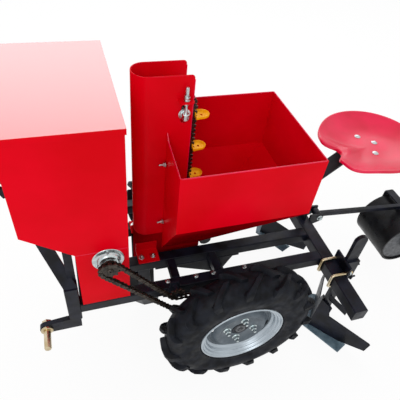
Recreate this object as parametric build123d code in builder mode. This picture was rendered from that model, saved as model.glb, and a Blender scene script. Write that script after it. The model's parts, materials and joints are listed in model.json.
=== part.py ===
from build123d import *
from math import atan2, cos, hypot, pi, radians, sin, sqrt, tan
import os

# Single-row potato planter for a small tractor.
# Millimetres. +X runs forward to the tractor, +Y to the machine's left and +Z up, with the floor at Z = 0.
# Every x below is measured forward of the wheel axle, and the planes at the end of the sizes put it in place.

# Overall layout
axle_x = 166.0           # wheel axle, forward of the middle of the machine
wheel_offset = 112.0     # tyre's middle plane outside the frame
rail_top = 402.0         # top of the frame above the floor
seat_gap = 0.3           # between pieces of different bodies that lie on each other
shaft_gap = 0.05         # radial clearance of a shaft in its bore
run_gap = 5.0            # beside pieces that turn

# Ground wheels
tyre_r = 277.0           # over the lugs' tips
tyre_width = 108.0
lug_height = 17.0
lug_thickness = 20.0
lug_count = 15           # on each shoulder
lug_slant = 38.0         # degrees off the axle's direction
rim_flange_r = 148.0
rim_width = 92.0
rim_bead_r = 133.0
rim_well_r = 112.0
rim_wall = 4.0
rim_dish = 26.0          # disc's outer face inside the outer flange
hub_hole_r = 30.0
axle_r = 15.0
hub_flange_r = 66.0
hub_flange = 10.0
stud_circle_r = 50.0
stud_count = 4
stud_angle = 10.0        # of the first stud, up from straight ahead
stud_r = 6.0
stud_length = 22.0
nut_r = 11.0
nut_height = 9.0

# Tyre outline from the bead's toe to the crown: across from the tyre's middle plane, and out from the axle
tyre_edge = ((rim_width / 2 - rim_wall, rim_bead_r), (rim_width / 2 - rim_wall, rim_flange_r + 2), (50.0, 172.0),
             (tyre_width / 2, 204.0), (50.0, 234.0), (38.0, 251.0), (16.0, 259.0))

# Frame of square tube
rail_tube = 40.0
tube_wall = 3.0
tube_round = 4.0
frame_half_width = 220.0
inner_rail_y = 82.0
rail_front_x = 509.0
toolbar_tube = 50.0
toolbar_wall = 4.0
toolbar_rear_x = -402.0
toolbar_half_length = 453.0
vent_r = 4.0
cross_bar_width = 28.0
cross_bar_height = 30.0
cross_bar_x = (190.0, 38.0)

# Hangers that carry the wheel axles under the rails
hanger_plate = 8.0
hanger_rear_x = -75.0
hanger_front_x = 243.0
axle_tube_r = 26.0
axle_tube_inner_y = 66.0
axle_tube_proud = 10.0    # beyond the outer rail
collar_r = 24.0
collar_width = 10.0

# Roller chain
pitch = 15.875
chain_height = 14.0
link_plate = 1.8
chain_gap = 4.7          # from the chain's middle plane to the inner face of its plates
chain_roller_r = 5.0
sprocket_width = 7.0
tooth_height = 8.6       # above the root circle
tooth_root = 1.5
tooth_angle = 70
sprocket_hub_r = 26.0

# Left chain, from the wheel axle to the fertiliser shaft, over a tensioning wheel
chain_offset = 39.0      # both drive chains outside the frame
feed_wheel_teeth = 50
feed_teeth = 11
idler_teeth = 9
idler_x = 207.0
idler_z = 424.0
idler_pin_r = 7.0
idler_plate = 6.0

# Right chain, from the wheel axle to the elevator shaft
lift_wheel_teeth = 30
lift_drive_teeth = 15

# Fertiliser hopper
fert_rear_x = 352.0
fert_front_x = 627.0
chute_front_x = 500.0
fert_inset = 1.0         # sides of the hopper inside the frame's
fert_top = 1048.0
fert_break_z = 746.0
chute_top_z = 645.0
sheet = 3.0
lid_sheet = 2.5
lid_lip = 14.0
lid_side_gap = 0.8
hinge_r = 7.0
hinge_pin_r = 3.0
hinge_y = 140.0
hinge_leaf = 50.0
feed_x = 412.0
feed_z = 607.0
feed_shaft_r = 10.0
flange_bearing_r = 46.0
flange_bearing_width = 16.0
lift_flange_r = 24.0
paddle_r = 44.0
paddle_y = (-165.0, -110.0, -55.0, 0.0, 55.0, 110.0, 165.0)

# Elevator tower
tower_rear_x = 140.0
tower_front_x = 302.0
tower_half_width = 42.0
tower_top = 1070.0
tower_corner_r = 10.0
slot_height = 58.0
boot_rear_x = 68.0
spout_rear_x = 222.0
boot_floor_z = 366.0
spout_bottom = 285.0
foot_length = 74.0
foot_plate = 4.0

# Cup chain
cup_sprocket_teeth = 14
cup_chain_links = 77
cup_spacing_links = 7
first_cup_links = 1.13   # from the lower end of the rising strand to the first cup
lift_x = 163.0
lift_top_z = 955.0
tension_shaft_r = 8.0
lift_shaft_r = 10.0
cup_r = 20.0
cup_wall = 3.0
cup_depth = 3.4
cup_reach = 42.0
cup_facets = 12

# Seed hopper
seed_front_x = 209.0
seed_rear_x = -237.0
seed_half_width = 197.0
seed_top = 857.0
seed_wall_bottom = 640.0
seed_sump_z = 480.0
seed_rise = 42.0         # the front sheet's climb to where it meets the tower

# Hitch
leg_bottom = 327.0
leg_top = 490.0
strut_inset = 31.0       # struts up to the hopper's sloped underside, in from the frame's sides
strut_plate = 10.0
strut_width = 24.0
lug_plate = 16.0
lug_end_r = 21.0
pin_x = 622.0
pin_z = 306.0
pin_r = 11.0
pin_length = 63.0        # free end, outside the shoulder
pin_shoulder_r = 19.0
pin_shoulder = 8.0
mast_bar_width = 40.0
mast_bar = 10.0
mast_inset = 12.0
top_link_x = 664.0
top_link_z = 766.0
top_link_r = 9.75
top_link_gap = 46.0
top_link_plate = 12.0
top_link_end_r = 26.0

# Seat
seat_x = -557.0
seat_z = 718.0
seat_half_width = 181.0
seat_depth = 382.0
seat_notch_depth = 58.0
seat_notch_width = 84.0
seat_bands = ((75.0, 0.0), (115.0, 5.0), (155.0, 18.0), (190.0, 38.0))   # pan's radius and rise
seat_sheet = 4.0
seat_arm_width = 60.0
seat_arm_bar = 10.0

# Press roller on its arm
roller_x = -904.0
roller_z = 211.0
roller_r = 115.0
roller_half_length = 102.0
roller_recess = 8.0
roller_rim = 8.0
roller_axle_r = 10.0
arm_tube = 30.0
arm_z = 400.0
arm_pivot_x = -446.0
arm_pivot_r = 8.0
yoke_bar = 8.0
yoke_width = 50.0

# Ridging bodies
ridger_y = 268.0
shank_width = 14.0
shank_depth = 47.0
shank_top = 560.0
clamp_plate = 8.0
clamp_width = 92.0
clamp_height = 100.0
clamp_mid_z = 392.0
keeper_plate = 8.0
keeper_height = 84.0
u_bolt_r = 5.5
u_bolt_spacing = 73.0
wing_plate = 5.0
wing_length = 157.0      # along the machine
wing_height = 186.0
wing_sweep = 50.0        # degrees off the machine's length
wing_rake = 0.05         # the nose's backward lean for each unit of height
ridger_nose_x = -394.0
foot_depth = 30.0
share_plate = 6.0
share_tip_x = -366.0
share_reach = 146.0

# Furrow opener
opener_nose_x = 396.0
opener_shoulder_x = 306.0
opener_rear_x = 212.0
opener_half_width = 62.0
opener_plate = 6.0
opener_height = 170.0

# Sizes that follow
u_bolt_reach = toolbar_tube / 2 + u_bolt_r + 0.3
wheel_z = tyre_r
carcass_r = tyre_r - lug_height
rail_mid_z = rail_top - rail_tube / 2
rail_bottom = rail_top - rail_tube
outer_rail_y = frame_half_width - rail_tube / 2
toolbar_front_x = toolbar_rear_x + toolbar_tube
toolbar_mid_x = toolbar_rear_x + toolbar_tube / 2
toolbar_mid_z = rail_top - toolbar_tube / 2
lift_bottom_z = lift_top_z - (cup_chain_links - cup_sprocket_teeth) * pitch / 2
leg_mid_x = rail_front_x + rail_tube / 2
half_track = frame_half_width + wheel_offset
axle_tube_outer_y = frame_half_width + axle_tube_proud
feed_chain_y = frame_half_width + chain_offset
lift_chain_y = -feed_chain_y
fert_half_width = frame_half_width - fert_inset
strut_y = frame_half_width - strut_inset
mast_foot_y = frame_half_width - mast_inset
pin_outer_y = frame_half_width + pin_shoulder + pin_length
sides = ((1, "left"), (-1, "right"))


def side_plane(y):
    # Upright plane along the machine: local x forward of the axle, local y up, facing right.
    return Plane(origin=(axle_x, y, 0), x_dir=(1, 0, 0), z_dir=(0, -1, 0))


def cross_plane(x):
    # Upright plane across the machine: local x to the left, local y up, facing forward.
    return Plane(origin=(axle_x + x, 0, 0), x_dir=(0, 1, 0), z_dir=(1, 0, 0))


def level_plane(z):
    # Level plane: local x forward of the axle, local y to the left, facing up.
    return Plane(origin=(axle_x, 0, z))


def pitch_radius(teeth):
    return pitch / (2 * sin(pi / teeth))


def loop_runs(wheels):
    # Straight runs of a loop round wheels, each (x, z, radius), where a negative radius is passed outside.
    runs = []
    for (x0, z0, r0), (x1, z1, r1) in zip(wheels, wheels[1:] + wheels[:1]):
        span = hypot(x1 - x0, z1 - z0)
        ux, uz = (x1 - x0) / span, (z1 - z0) / span
        along = (r0 - r1) / span
        across = sqrt(1 - along * along)
        nx = along * ux + across * uz
        nz = along * uz - across * ux
        runs.append(((x0 + r0 * nx, z0 + r0 * nz), (x1 + r1 * nx, z1 + r1 * nz)))
    return runs


def loop_outline(wheels, shift):
    # Closed outline of the same loop, moved outward by shift.
    moved = [(x, z, r + shift) for x, z, r in wheels]
    runs = loop_runs(moved)
    for i, (x, z, r) in enumerate(moved):
        start = runs[i - 1][1]
        end = runs[i][0]
        first = atan2(start[1] - z, start[0] - x)
        sweep = (atan2(end[1] - z, end[0] - x) - first) % (2 * pi)
        if r < 0:
            sweep -= 2 * pi
        middle = (x + abs(r) * cos(first + sweep / 2), z + abs(r) * sin(first + sweep / 2))
        ThreePointArc(start, middle, end)
        Line(*runs[i])


def tooth_clearance(r):
    # Distance along a run from its tangent point to the first roller that clears the teeth.
    reach = abs(r) + tooth_height + 1
    return sqrt(reach * reach - r * r)


def chain_solids(wheels, y):
    # Two side strips round the whole loop, tied by rollers along its straight runs.
    for edge in (-1, 1):
        with BuildSketch(side_plane(y + edge * (chain_gap + link_plate / 2))) as strip:
            with BuildLine():
                loop_outline(wheels, chain_height / 2)
            make_face()
            with BuildLine():
                loop_outline(wheels, -chain_height / 2)
            make_face(mode=Mode.SUBTRACT)
        extrude(strip.sketch, amount=link_plate / 2, both=True)
    runs = loop_runs(wheels)
    for i, ((x0, z0), (x1, z1)) in enumerate(runs):
        length = hypot(x1 - x0, z1 - z0)
        start = tooth_clearance(wheels[i][2])
        room = length - start - tooth_clearance(wheels[(i + 1) % len(wheels)][2])
        count = int(room / pitch) + 1
        first = start + (room - (count - 1) * pitch) / 2
        places = [(x0 + (x1 - x0) * s / length, z0 + (z1 - z0) * s / length)
                  for s in (first + i * pitch for i in range(count))]
        with BuildSketch(side_plane(y)) as rollers:
            with Locations(*places):
                RegularPolygon(chain_roller_r, 4)
        extrude(rollers.sketch, amount=chain_gap + link_plate / 2, both=True)


def sprocket_face(teeth):
    # Toothed disc about the sketch's own centre.
    root_r = pitch_radius(teeth) - chain_roller_r
    height = tooth_height + tooth_root
    Circle(root_r)
    with PolarLocations(root_r - tooth_root + height / 2, teeth):
        Trapezoid(pitch * 0.62, height, tooth_angle, rotation=-90)


os.makedirs("parts", exist_ok=True)

# Frame rails along the machine
with BuildPart() as outer_rails:
    with BuildSketch(cross_plane(toolbar_front_x)):
        with Locations((outer_rail_y, rail_mid_z), (-outer_rail_y, rail_mid_z)):
            RectangleRounded(rail_tube, rail_tube, tube_round)
            Rectangle(rail_tube - 2 * tube_wall, rail_tube - 2 * tube_wall, mode=Mode.SUBTRACT)
    extrude(amount=rail_front_x - toolbar_front_x)
outer_rails.part.label = "outer_rails"
export_step(outer_rails.part, "parts/outer_rails.step")

with BuildPart() as inner_rails:
    with BuildSketch(cross_plane(toolbar_front_x)):
        with Locations((inner_rail_y, rail_mid_z), (-inner_rail_y, rail_mid_z)):
            RectangleRounded(rail_tube, rail_tube, tube_round)
            Rectangle(rail_tube - 2 * tube_wall, rail_tube - 2 * tube_wall, mode=Mode.SUBTRACT)
    extrude(amount=rail_front_x - rail_tube - toolbar_front_x)
inner_rails.part.label = "inner_rails"
export_step(inner_rails.part, "parts/inner_rails.step")

# Front cross tube between the outer rails
with BuildPart() as front_crossbar:
    with BuildSketch(side_plane(0)):
        with Locations((rail_front_x - rail_tube / 2, rail_mid_z)):
            RectangleRounded(rail_tube, rail_tube, tube_round)
            Rectangle(rail_tube - 2 * tube_wall, rail_tube - 2 * tube_wall, mode=Mode.SUBTRACT)
    extrude(amount=frame_half_width - rail_tube, both=True)
front_crossbar.part.label = "front_crossbar"
export_step(front_crossbar.part, "parts/front_crossbar.step")

# Rear toolbar with capped ends and a drain hole in its underside
with BuildPart() as rear_toolbar:
    with BuildSketch(side_plane(0)):
        with Locations((toolbar_mid_x, toolbar_mid_z)):
            RectangleRounded(toolbar_tube, toolbar_tube, tube_round)
    extrude(amount=toolbar_half_length, both=True)
    with BuildSketch(side_plane(0)):
        with Locations((toolbar_mid_x, toolbar_mid_z)):
            Rectangle(toolbar_tube - 2 * toolbar_wall, toolbar_tube - 2 * toolbar_wall)
    extrude(amount=toolbar_half_length - toolbar_wall, both=True, mode=Mode.SUBTRACT)
    with BuildSketch(level_plane(rail_top - toolbar_tube)):
        with Locations((toolbar_mid_x, 0)):
            Circle(vent_r)
    extrude(amount=toolbar_tube / 2, mode=Mode.SUBTRACT)
rear_toolbar.part.label = "rear_toolbar"
export_step(rear_toolbar.part, "parts/rear_toolbar.step")

# Short bars between the outer and inner rails
bar_length = outer_rail_y - inner_rail_y - rail_tube
with BuildPart() as cross_bars:
    with BuildSketch(level_plane(rail_top - cross_bar_height)):
        for side, word in sides:
            with Locations(*[(x, side * (inner_rail_y + outer_rail_y) / 2) for x in cross_bar_x]):
                Rectangle(cross_bar_width, bar_length)
    extrude(amount=cross_bar_height)
cross_bars.part.label = "cross_bars"
export_step(cross_bars.part, "parts/cross_bars.step")

# Axle hangers: a bearing tube under each pair of rails, on plates that hang from them
with BuildPart() as axle_hangers:
    for side, word in sides:
        with BuildSketch(side_plane(side * axle_tube_inner_y)):
            with Locations((0, wheel_z)):
                Circle(axle_tube_r)
        extrude(amount=-side * (axle_tube_outer_y - axle_tube_inner_y))
        for plate_y in (inner_rail_y, outer_rail_y):
            with BuildSketch(side_plane(side * plate_y)):
                with BuildLine():
                    Polyline((hanger_rear_x, rail_bottom), (-axle_tube_r, wheel_z - 12), (axle_tube_r, wheel_z - 12),
                             (hanger_front_x, rail_bottom), close=True)
                make_face()
            extrude(amount=hanger_plate / 2, both=True)
            with BuildSketch(level_plane(rail_bottom)):
                with Locations(((hanger_rear_x + hanger_front_x) / 2, side * plate_y)):
                    Rectangle(hanger_front_x - hanger_rear_x, rail_tube)
            extrude(amount=-hanger_plate)
        with BuildSketch(side_plane(side * axle_tube_inner_y)):
            with Locations((0, wheel_z)):
                Circle(axle_r + shaft_gap)
        extrude(amount=-side * (axle_tube_outer_y - axle_tube_inner_y), mode=Mode.SUBTRACT)
axle_hangers.part.label = "axle_hangers"
export_step(axle_hangers.part, "parts/axle_hangers.step")

# Ground wheels
flange_y = half_track + rim_width / 2
disc_y = flange_y - rim_dish
wheel_axis_start = (axle_x, 0, wheel_z)
for side, word in sides:
    wheel_axis = Axis(wheel_axis_start, (0, 1, 0))

    # Tyre: round shouldered carcass and two rows of slanted lugs
    with BuildPart() as tyre:
        with BuildSketch(cross_plane(0)):
            edge = [(half_track + y, wheel_z + r) for y, r in tyre_edge]
            mirrored = [(2 * half_track - y, z) for y, z in reversed(edge)]
            Polygon([(side * y, z) for y, z in edge + mirrored], align=None)
        revolve(axis=wheel_axis)
        for i in range(2 * lug_count):
            angle = -90 + i * 180 / lug_count
            row = 1 if i % 2 == 0 else -1
            out = Vector(cos(radians(angle)), 0, sin(radians(angle)))
            foot = Vector(axle_x, side * half_track + row * tyre_width / 4, wheel_z) + out * (carcass_r - 24)
            with BuildSketch(Plane(origin=foot, x_dir=(0, 1, 0), z_dir=out)):
                Rectangle(tyre_width / 2 + 6, lug_thickness, rotation=row * lug_slant)
            extrude(amount=lug_height + 24)
    tyre.part.label = f"tyre_{word}"
    export_step(tyre.part, f"parts/tyre_{word}.step")

    # Rim: pressed steel with bead flanges, a well and a dished disc
    with BuildPart() as rim:
        with BuildSketch(cross_plane(0)):
            with BuildLine():
                outer = side * flange_y
                inner = side * (half_track - rim_width / 2)
                wall = side * rim_wall
                Polyline((outer, wheel_z + rim_flange_r), (outer - wall, wheel_z + rim_flange_r),
                         (outer - wall, wheel_z + rim_bead_r), (side * disc_y, wheel_z + rim_bead_r),
                         (side * disc_y - 2 * wall, wheel_z + rim_well_r), (inner + 6 * wall, wheel_z + rim_well_r),
                         (inner + 4 * wall, wheel_z + rim_bead_r), (inner + wall, wheel_z + rim_bead_r),
                         (inner + wall, wheel_z + rim_flange_r), (inner, wheel_z + rim_flange_r),
                         (inner, wheel_z + rim_bead_r - rim_wall), (inner + 3 * wall, wheel_z + rim_bead_r - rim_wall),
                         (inner + 5 * wall, wheel_z + rim_well_r - rim_wall),
                         (side * disc_y - 2 * wall, wheel_z + rim_well_r - rim_wall),
                         (side * disc_y - 2 * wall, wheel_z + hub_flange_r + 14),
                         (side * disc_y - wall, wheel_z + hub_flange_r), (side * disc_y - wall, wheel_z + hub_hole_r),
                         (side * disc_y, wheel_z + hub_hole_r), (side * disc_y, wheel_z + hub_flange_r),
                         (side * disc_y - wall, wheel_z + hub_flange_r + 14),
                         (side * disc_y - wall, wheel_z + rim_well_r - 6),
                         (side * disc_y, wheel_z + rim_well_r + 8), (side * disc_y + wall, wheel_z + rim_bead_r - rim_wall),
                         (outer, wheel_z + rim_bead_r - rim_wall), close=True)
            make_face()
        revolve(axis=wheel_axis)
        with BuildSketch(side_plane(side * disc_y)):
            with Locations((0, wheel_z)):
                with PolarLocations(stud_circle_r, stud_count, stud_angle):
                    Circle(stud_r + 0.5)
        extrude(amount=3 * rim_wall, both=True, mode=Mode.SUBTRACT)
    rim.part.label = f"rim_{word}"
    export_step(rim.part, f"parts/rim_{word}.step")

    # Axle: shaft with a hub flange, four studs with nuts, the drive sprocket and an end collar
    teeth = feed_wheel_teeth if side > 0 else lift_wheel_teeth
    with BuildPart() as axle:
        start = side * (axle_tube_inner_y - seat_gap - collar_width)
        with BuildSketch(side_plane(start)):
            with Locations((0, wheel_z)):
                Circle(axle_r)
        extrude(amount=-side * (disc_y + 6) + start)
        with BuildSketch(side_plane(start)):
            with Locations((0, wheel_z)):
                Circle(collar_r)
        extrude(amount=-side * collar_width)
        with BuildSketch(side_plane(side * (disc_y - rim_wall))):
            with Locations((0, wheel_z)):
                Circle(hub_flange_r)
        extrude(amount=side * hub_flange)
        with BuildSketch(side_plane(side * (disc_y - rim_wall))):
            with Locations((0, wheel_z)):
                with PolarLocations(stud_circle_r, stud_count, stud_angle):
                    Circle(stud_r)
        extrude(amount=-side * stud_length)
        with BuildSketch(side_plane(side * disc_y)):
            with Locations((0, wheel_z)):
                with PolarLocations(stud_circle_r, stud_count, stud_angle):
                    RegularPolygon(nut_r, 6)
        extrude(amount=-side * nut_height)
        with BuildSketch(side_plane(side * feed_chain_y)):
            with Locations((0, wheel_z)):
                sprocket_face(teeth)
        extrude(amount=sprocket_width / 2, both=True)
        with BuildSketch(side_plane(side * (axle_tube_outer_y + seat_gap))):
            with Locations((0, wheel_z)):
                Circle(sprocket_hub_r)
        extrude(amount=-side * (disc_y - rim_wall - hub_flange - axle_tube_outer_y - seat_gap))
    axle.part.label = f"axle_{word}"
    export_step(axle.part, f"parts/axle_{word}.step")

# Left drive chain and its tensioning wheel
feed_loop = [(feed_x, feed_z, pitch_radius(feed_teeth)), (idler_x, idler_z, -pitch_radius(idler_teeth)),
             (0, wheel_z, pitch_radius(feed_wheel_teeth))]
with BuildPart() as feed_chain:
    chain_solids(feed_loop, feed_chain_y)
feed_chain.part.label = "feed_chain"
export_step(feed_chain.part, "parts/feed_chain.step")

with BuildPart() as idler_bracket:
    with BuildSketch(side_plane(frame_half_width)):
        with BuildLine():
            Polyline((idler_x - 30, rail_bottom), (idler_x + 30, rail_bottom), (idler_x + 14, idler_z + 14),
                     (idler_x - 14, idler_z + 14), close=True)
        make_face()
    extrude(amount=-idler_plate)
    with BuildSketch(side_plane(frame_half_width)):
        with Locations((idler_x, idler_z)):
            Circle(idler_pin_r)
    extrude(amount=-(feed_chain_y - frame_half_width + sprocket_width / 2 + 4))
idler_bracket.part.label = "idler_bracket"
export_step(idler_bracket.part, "parts/idler_bracket.step")

with BuildPart() as idler_wheel:
    with BuildSketch(side_plane(feed_chain_y)):
        with Locations((idler_x, idler_z)):
            sprocket_face(idler_teeth)
            Circle(idler_pin_r + shaft_gap, mode=Mode.SUBTRACT)
    extrude(amount=sprocket_width / 2, both=True)
idler_wheel.part.label = "idler_wheel"
export_step(idler_wheel.part, "parts/idler_wheel.step")

# Right drive chain
lift_loop = [(lift_x, lift_bottom_z, pitch_radius(lift_drive_teeth)), (0, wheel_z, pitch_radius(lift_wheel_teeth))]
with BuildPart() as lift_chain:
    chain_solids(lift_loop, lift_chain_y)
lift_chain.part.label = "lift_chain"
export_step(lift_chain.part, "parts/lift_chain.step")

# Fertiliser hopper: a deep box over a narrower chute that stands on the rails
with BuildPart() as fertiliser_hopper:
    with BuildSketch(side_plane(0)):
        with BuildLine():
            Polyline((fert_rear_x, rail_top), (chute_front_x, rail_top), (chute_front_x, chute_top_z),
                     (fert_front_x, fert_break_z), (fert_front_x, fert_top), (fert_rear_x, fert_top), close=True)
        make_face()
    extrude(amount=fert_half_width, both=True)
    with BuildSketch(side_plane(0)):
        with BuildLine():
            Polyline((fert_rear_x + sheet, rail_top + sheet), (chute_front_x - sheet, rail_top + sheet),
                     (chute_front_x - sheet, chute_top_z + 2), (fert_front_x - sheet, fert_break_z + 2),
                     (fert_front_x - sheet, fert_top), (fert_rear_x + sheet, fert_top), close=True)
        make_face()
    extrude(amount=fert_half_width - sheet, both=True, mode=Mode.SUBTRACT)
    with BuildSketch(side_plane(0)):
        with Locations((feed_x, feed_z)):
            Circle(feed_shaft_r + run_gap)
    extrude(amount=fert_half_width, both=True, mode=Mode.SUBTRACT)
fertiliser_hopper.part.label = "fertiliser_hopper"
export_step(fertiliser_hopper.part, "parts/fertiliser_hopper.step")

# Lid, hinged along its front edge
hinge_x = fert_front_x + hinge_r + 1
hinge_z = fert_top + seat_gap
lid_rear_x = fert_rear_x - lid_side_gap - lid_sheet
with BuildPart() as fertiliser_lid:
    with BuildSketch(level_plane(fert_top - lid_lip)):
        with Locations(((lid_rear_x + fert_front_x) / 2, 0)):
            Rectangle(fert_front_x - lid_rear_x, 2 * (fert_half_width + lid_side_gap + lid_sheet))
    extrude(amount=lid_lip + seat_gap + lid_sheet)
    with BuildSketch(level_plane(fert_top - lid_lip)):
        with Locations(((fert_rear_x - lid_side_gap + fert_front_x + 1) / 2, 0)):
            Rectangle(fert_front_x + 1 - fert_rear_x + lid_side_gap, 2 * (fert_half_width + lid_side_gap))
    extrude(amount=lid_lip + seat_gap, mode=Mode.SUBTRACT)
    for hinge in (-hinge_y, hinge_y):
        with BuildSketch(side_plane(hinge)):
            with Locations((hinge_x, hinge_z)):
                Circle(hinge_r)
            with Locations((hinge_x - hinge_r, hinge_z + seat_gap + lid_sheet / 2)):
                Rectangle(2 * hinge_r, lid_sheet)
            with Locations((hinge_x, hinge_z)):
                Circle(hinge_pin_r + shaft_gap, mode=Mode.SUBTRACT)
        extrude(amount=hinge_leaf / 4, both=True)
fertiliser_lid.part.label = "fertiliser_lid"
export_step(fertiliser_lid.part, "parts/fertiliser_lid.step")

with BuildPart() as lid_hinges:
    for hinge in (-hinge_y, hinge_y):
        with BuildSketch(side_plane(hinge)):
            with Locations((hinge_x, hinge_z)):
                Circle(hinge_pin_r)
        extrude(amount=hinge_leaf / 2, both=True)
        for end in (-1, 1):
            with BuildSketch(side_plane(hinge + end * (hinge_leaf / 4 + 0.5))):
                with Locations((hinge_x, hinge_z)):
                    Circle(hinge_r - 1)
                with BuildLine():
                    Polyline((fert_front_x, hinge_z - 30), (fert_front_x + 2, hinge_z - 30), (hinge_x, hinge_z - hinge_r + 3),
                             (hinge_x, hinge_z), (fert_front_x, hinge_z - 6), close=True)
                make_face()
            extrude(amount=-end * (hinge_leaf / 4 - 0.5))
lid_hinges.part.label = "lid_hinges"
export_step(lid_hinges.part, "parts/lid_hinges.step")

# Fertiliser shaft with its paddles and sprocket, in two flanged bearings
with BuildPart() as feed_shaft:
    with BuildSketch(side_plane(-fert_half_width - flange_bearing_width - 6)):
        with Locations((feed_x, feed_z)):
            Circle(feed_shaft_r)
    extrude(amount=-(fert_half_width + flange_bearing_width + 6 + feed_chain_y + sprocket_width / 2 + 4))
    with BuildSketch(side_plane(feed_chain_y)):
        with Locations((feed_x, feed_z)):
            sprocket_face(feed_teeth)
    extrude(amount=sprocket_width / 2, both=True)
    for i, y in enumerate(paddle_y):
        with BuildSketch(side_plane(y)):
            with Locations((feed_x, feed_z)):
                Rectangle(2 * paddle_r, 8, rotation=i * 45)
        extrude(amount=3, both=True)
feed_shaft.part.label = "feed_shaft"
export_step(feed_shaft.part, "parts/feed_shaft.step")

# Elevator tower: a rounded channel, open to the rear, with a slot for the tension shaft
tower_arc_x = tower_front_x - tower_half_width
with BuildPart() as elevator_tower:
    with BuildSketch(level_plane(seed_sump_z)):
        with Locations(((tower_rear_x + tower_arc_x) / 2, 0)):
            Rectangle(tower_arc_x - tower_rear_x, 2 * tower_half_width)
        with Locations((tower_arc_x, 0)):
            Circle(tower_half_width)
        with Locations(((tower_rear_x + tower_arc_x) / 2, 0)):
            Rectangle(tower_arc_x - tower_rear_x, 2 * (tower_half_width - sheet), mode=Mode.SUBTRACT)
        with Locations((tower_arc_x, 0)):
            Circle(tower_half_width - sheet, mode=Mode.SUBTRACT)
    extrude(amount=tower_top - seed_sump_z)
    with BuildSketch(side_plane(0)):
        with Locations((lift_x, lift_top_z)):
            SlotOverall(slot_height, 2 * tension_shaft_r + 2, rotation=90)
    extrude(amount=tower_half_width, both=True, mode=Mode.SUBTRACT)
    rear_corners = elevator_tower.edges().filter_by(Axis.Y).group_by(Axis.Z)[-1].group_by(Axis.X)[0]
    fillet(rear_corners, tower_corner_r)
elevator_tower.part.label = "elevator_tower"
export_step(elevator_tower.part, "parts/elevator_tower.step")

# Boot: the trough round the lower turn of the cup chain, with the seed spout in front
with BuildPart() as seed_boot:
    with BuildSketch(level_plane(boot_floor_z)):
        with Locations(((boot_rear_x + tower_arc_x) / 2, 0)):
            Rectangle(tower_arc_x - boot_rear_x, 2 * tower_half_width)
        with Locations((tower_arc_x, 0)):
            Circle(tower_half_width)
    extrude(amount=seed_sump_z - boot_floor_z)
    with BuildSketch(level_plane(spout_bottom)):
        with Locations(((spout_rear_x + tower_arc_x) / 2, 0)):
            Rectangle(tower_arc_x - spout_rear_x, 2 * tower_half_width)
        with Locations((tower_arc_x, 0)):
            Circle(tower_half_width)
    extrude(amount=boot_floor_z - spout_bottom)
    with BuildSketch(level_plane(boot_floor_z + sheet)):
        with Locations(((boot_rear_x + sheet + tower_arc_x) / 2, 0)):
            Rectangle(tower_arc_x - boot_rear_x - sheet, 2 * (tower_half_width - sheet))
        with Locations((tower_arc_x, 0)):
            Circle(tower_half_width - sheet)
    extrude(amount=seed_sump_z - boot_floor_z - sheet, mode=Mode.SUBTRACT)
    with BuildSketch(level_plane(spout_bottom)):
        with Locations(((spout_rear_x + sheet + tower_arc_x) / 2, 0)):
            Rectangle(tower_arc_x - spout_rear_x - sheet, 2 * (tower_half_width - sheet))
        with Locations((tower_arc_x, 0)):
            Circle(tower_half_width - sheet)
    extrude(amount=boot_floor_z + sheet - spout_bottom, mode=Mode.SUBTRACT)
    with BuildSketch(side_plane(0)):
        with Locations((lift_x, lift_bottom_z)):
            Circle(lift_shaft_r + run_gap)
    extrude(amount=tower_half_width, both=True, mode=Mode.SUBTRACT)
seed_boot.part.label = "seed_boot"
export_step(seed_boot.part, "parts/seed_boot.step")

# Feet that bolt the boot to the inner rails
with BuildPart() as tower_feet:
    for side, word in sides:
        with BuildSketch(cross_plane(spout_rear_x + 6)):
            with BuildLine():
                face = side * tower_half_width
                edge = side * (inner_rail_y + rail_tube / 2)
                plate = side * foot_plate
                Polyline((face, rail_top), (edge, rail_top), (edge, rail_top + foot_plate),
                         (face + plate, rail_top + foot_plate), (face + plate, rail_top + 42), (face, rail_top + 42), close=True)
            make_face()
        extrude(amount=foot_length)
tower_feet.part.label = "tower_feet"
export_step(tower_feet.part, "parts/tower_feet.step")

# Tension shaft of the upper cup sprocket, held in the tower's slot by nuts and a screw
with BuildPart() as tension_shaft:
    with BuildSketch(side_plane(0)):
        with Locations((lift_x, lift_top_z)):
            Circle(tension_shaft_r)
    extrude(amount=tower_half_width + 20, both=True)
    for side, word in sides:
        with BuildSketch(side_plane(side * tower_half_width)):
            with Locations((lift_x, lift_top_z)):
                RegularPolygon(14, 6)
        extrude(amount=-side * 11)
        with BuildSketch(side_plane(side * (tower_half_width + 11))):
            with Locations((lift_x, lift_top_z + 25)):
                Rectangle(9, 66)
        extrude(amount=-side * 6)
tension_shaft.part.label = "tension_shaft"
export_step(tension_shaft.part, "parts/tension_shaft.step")

with BuildPart() as lift_top_sprocket:
    with BuildSketch(side_plane(0)):
        with Locations((lift_x, lift_top_z)):
            sprocket_face(cup_sprocket_teeth)
            Circle(tension_shaft_r + shaft_gap, mode=Mode.SUBTRACT)
    extrude(amount=sprocket_width / 2, both=True)
    with BuildSketch(side_plane(0)):
        with Locations((lift_x, lift_top_z)):
            Circle(16)
            Circle(tension_shaft_r + shaft_gap, mode=Mode.SUBTRACT)
    extrude(amount=16, both=True)
lift_top_sprocket.part.label = "lift_top_sprocket"
export_step(lift_top_sprocket.part, "parts/lift_top_sprocket.step")

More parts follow.
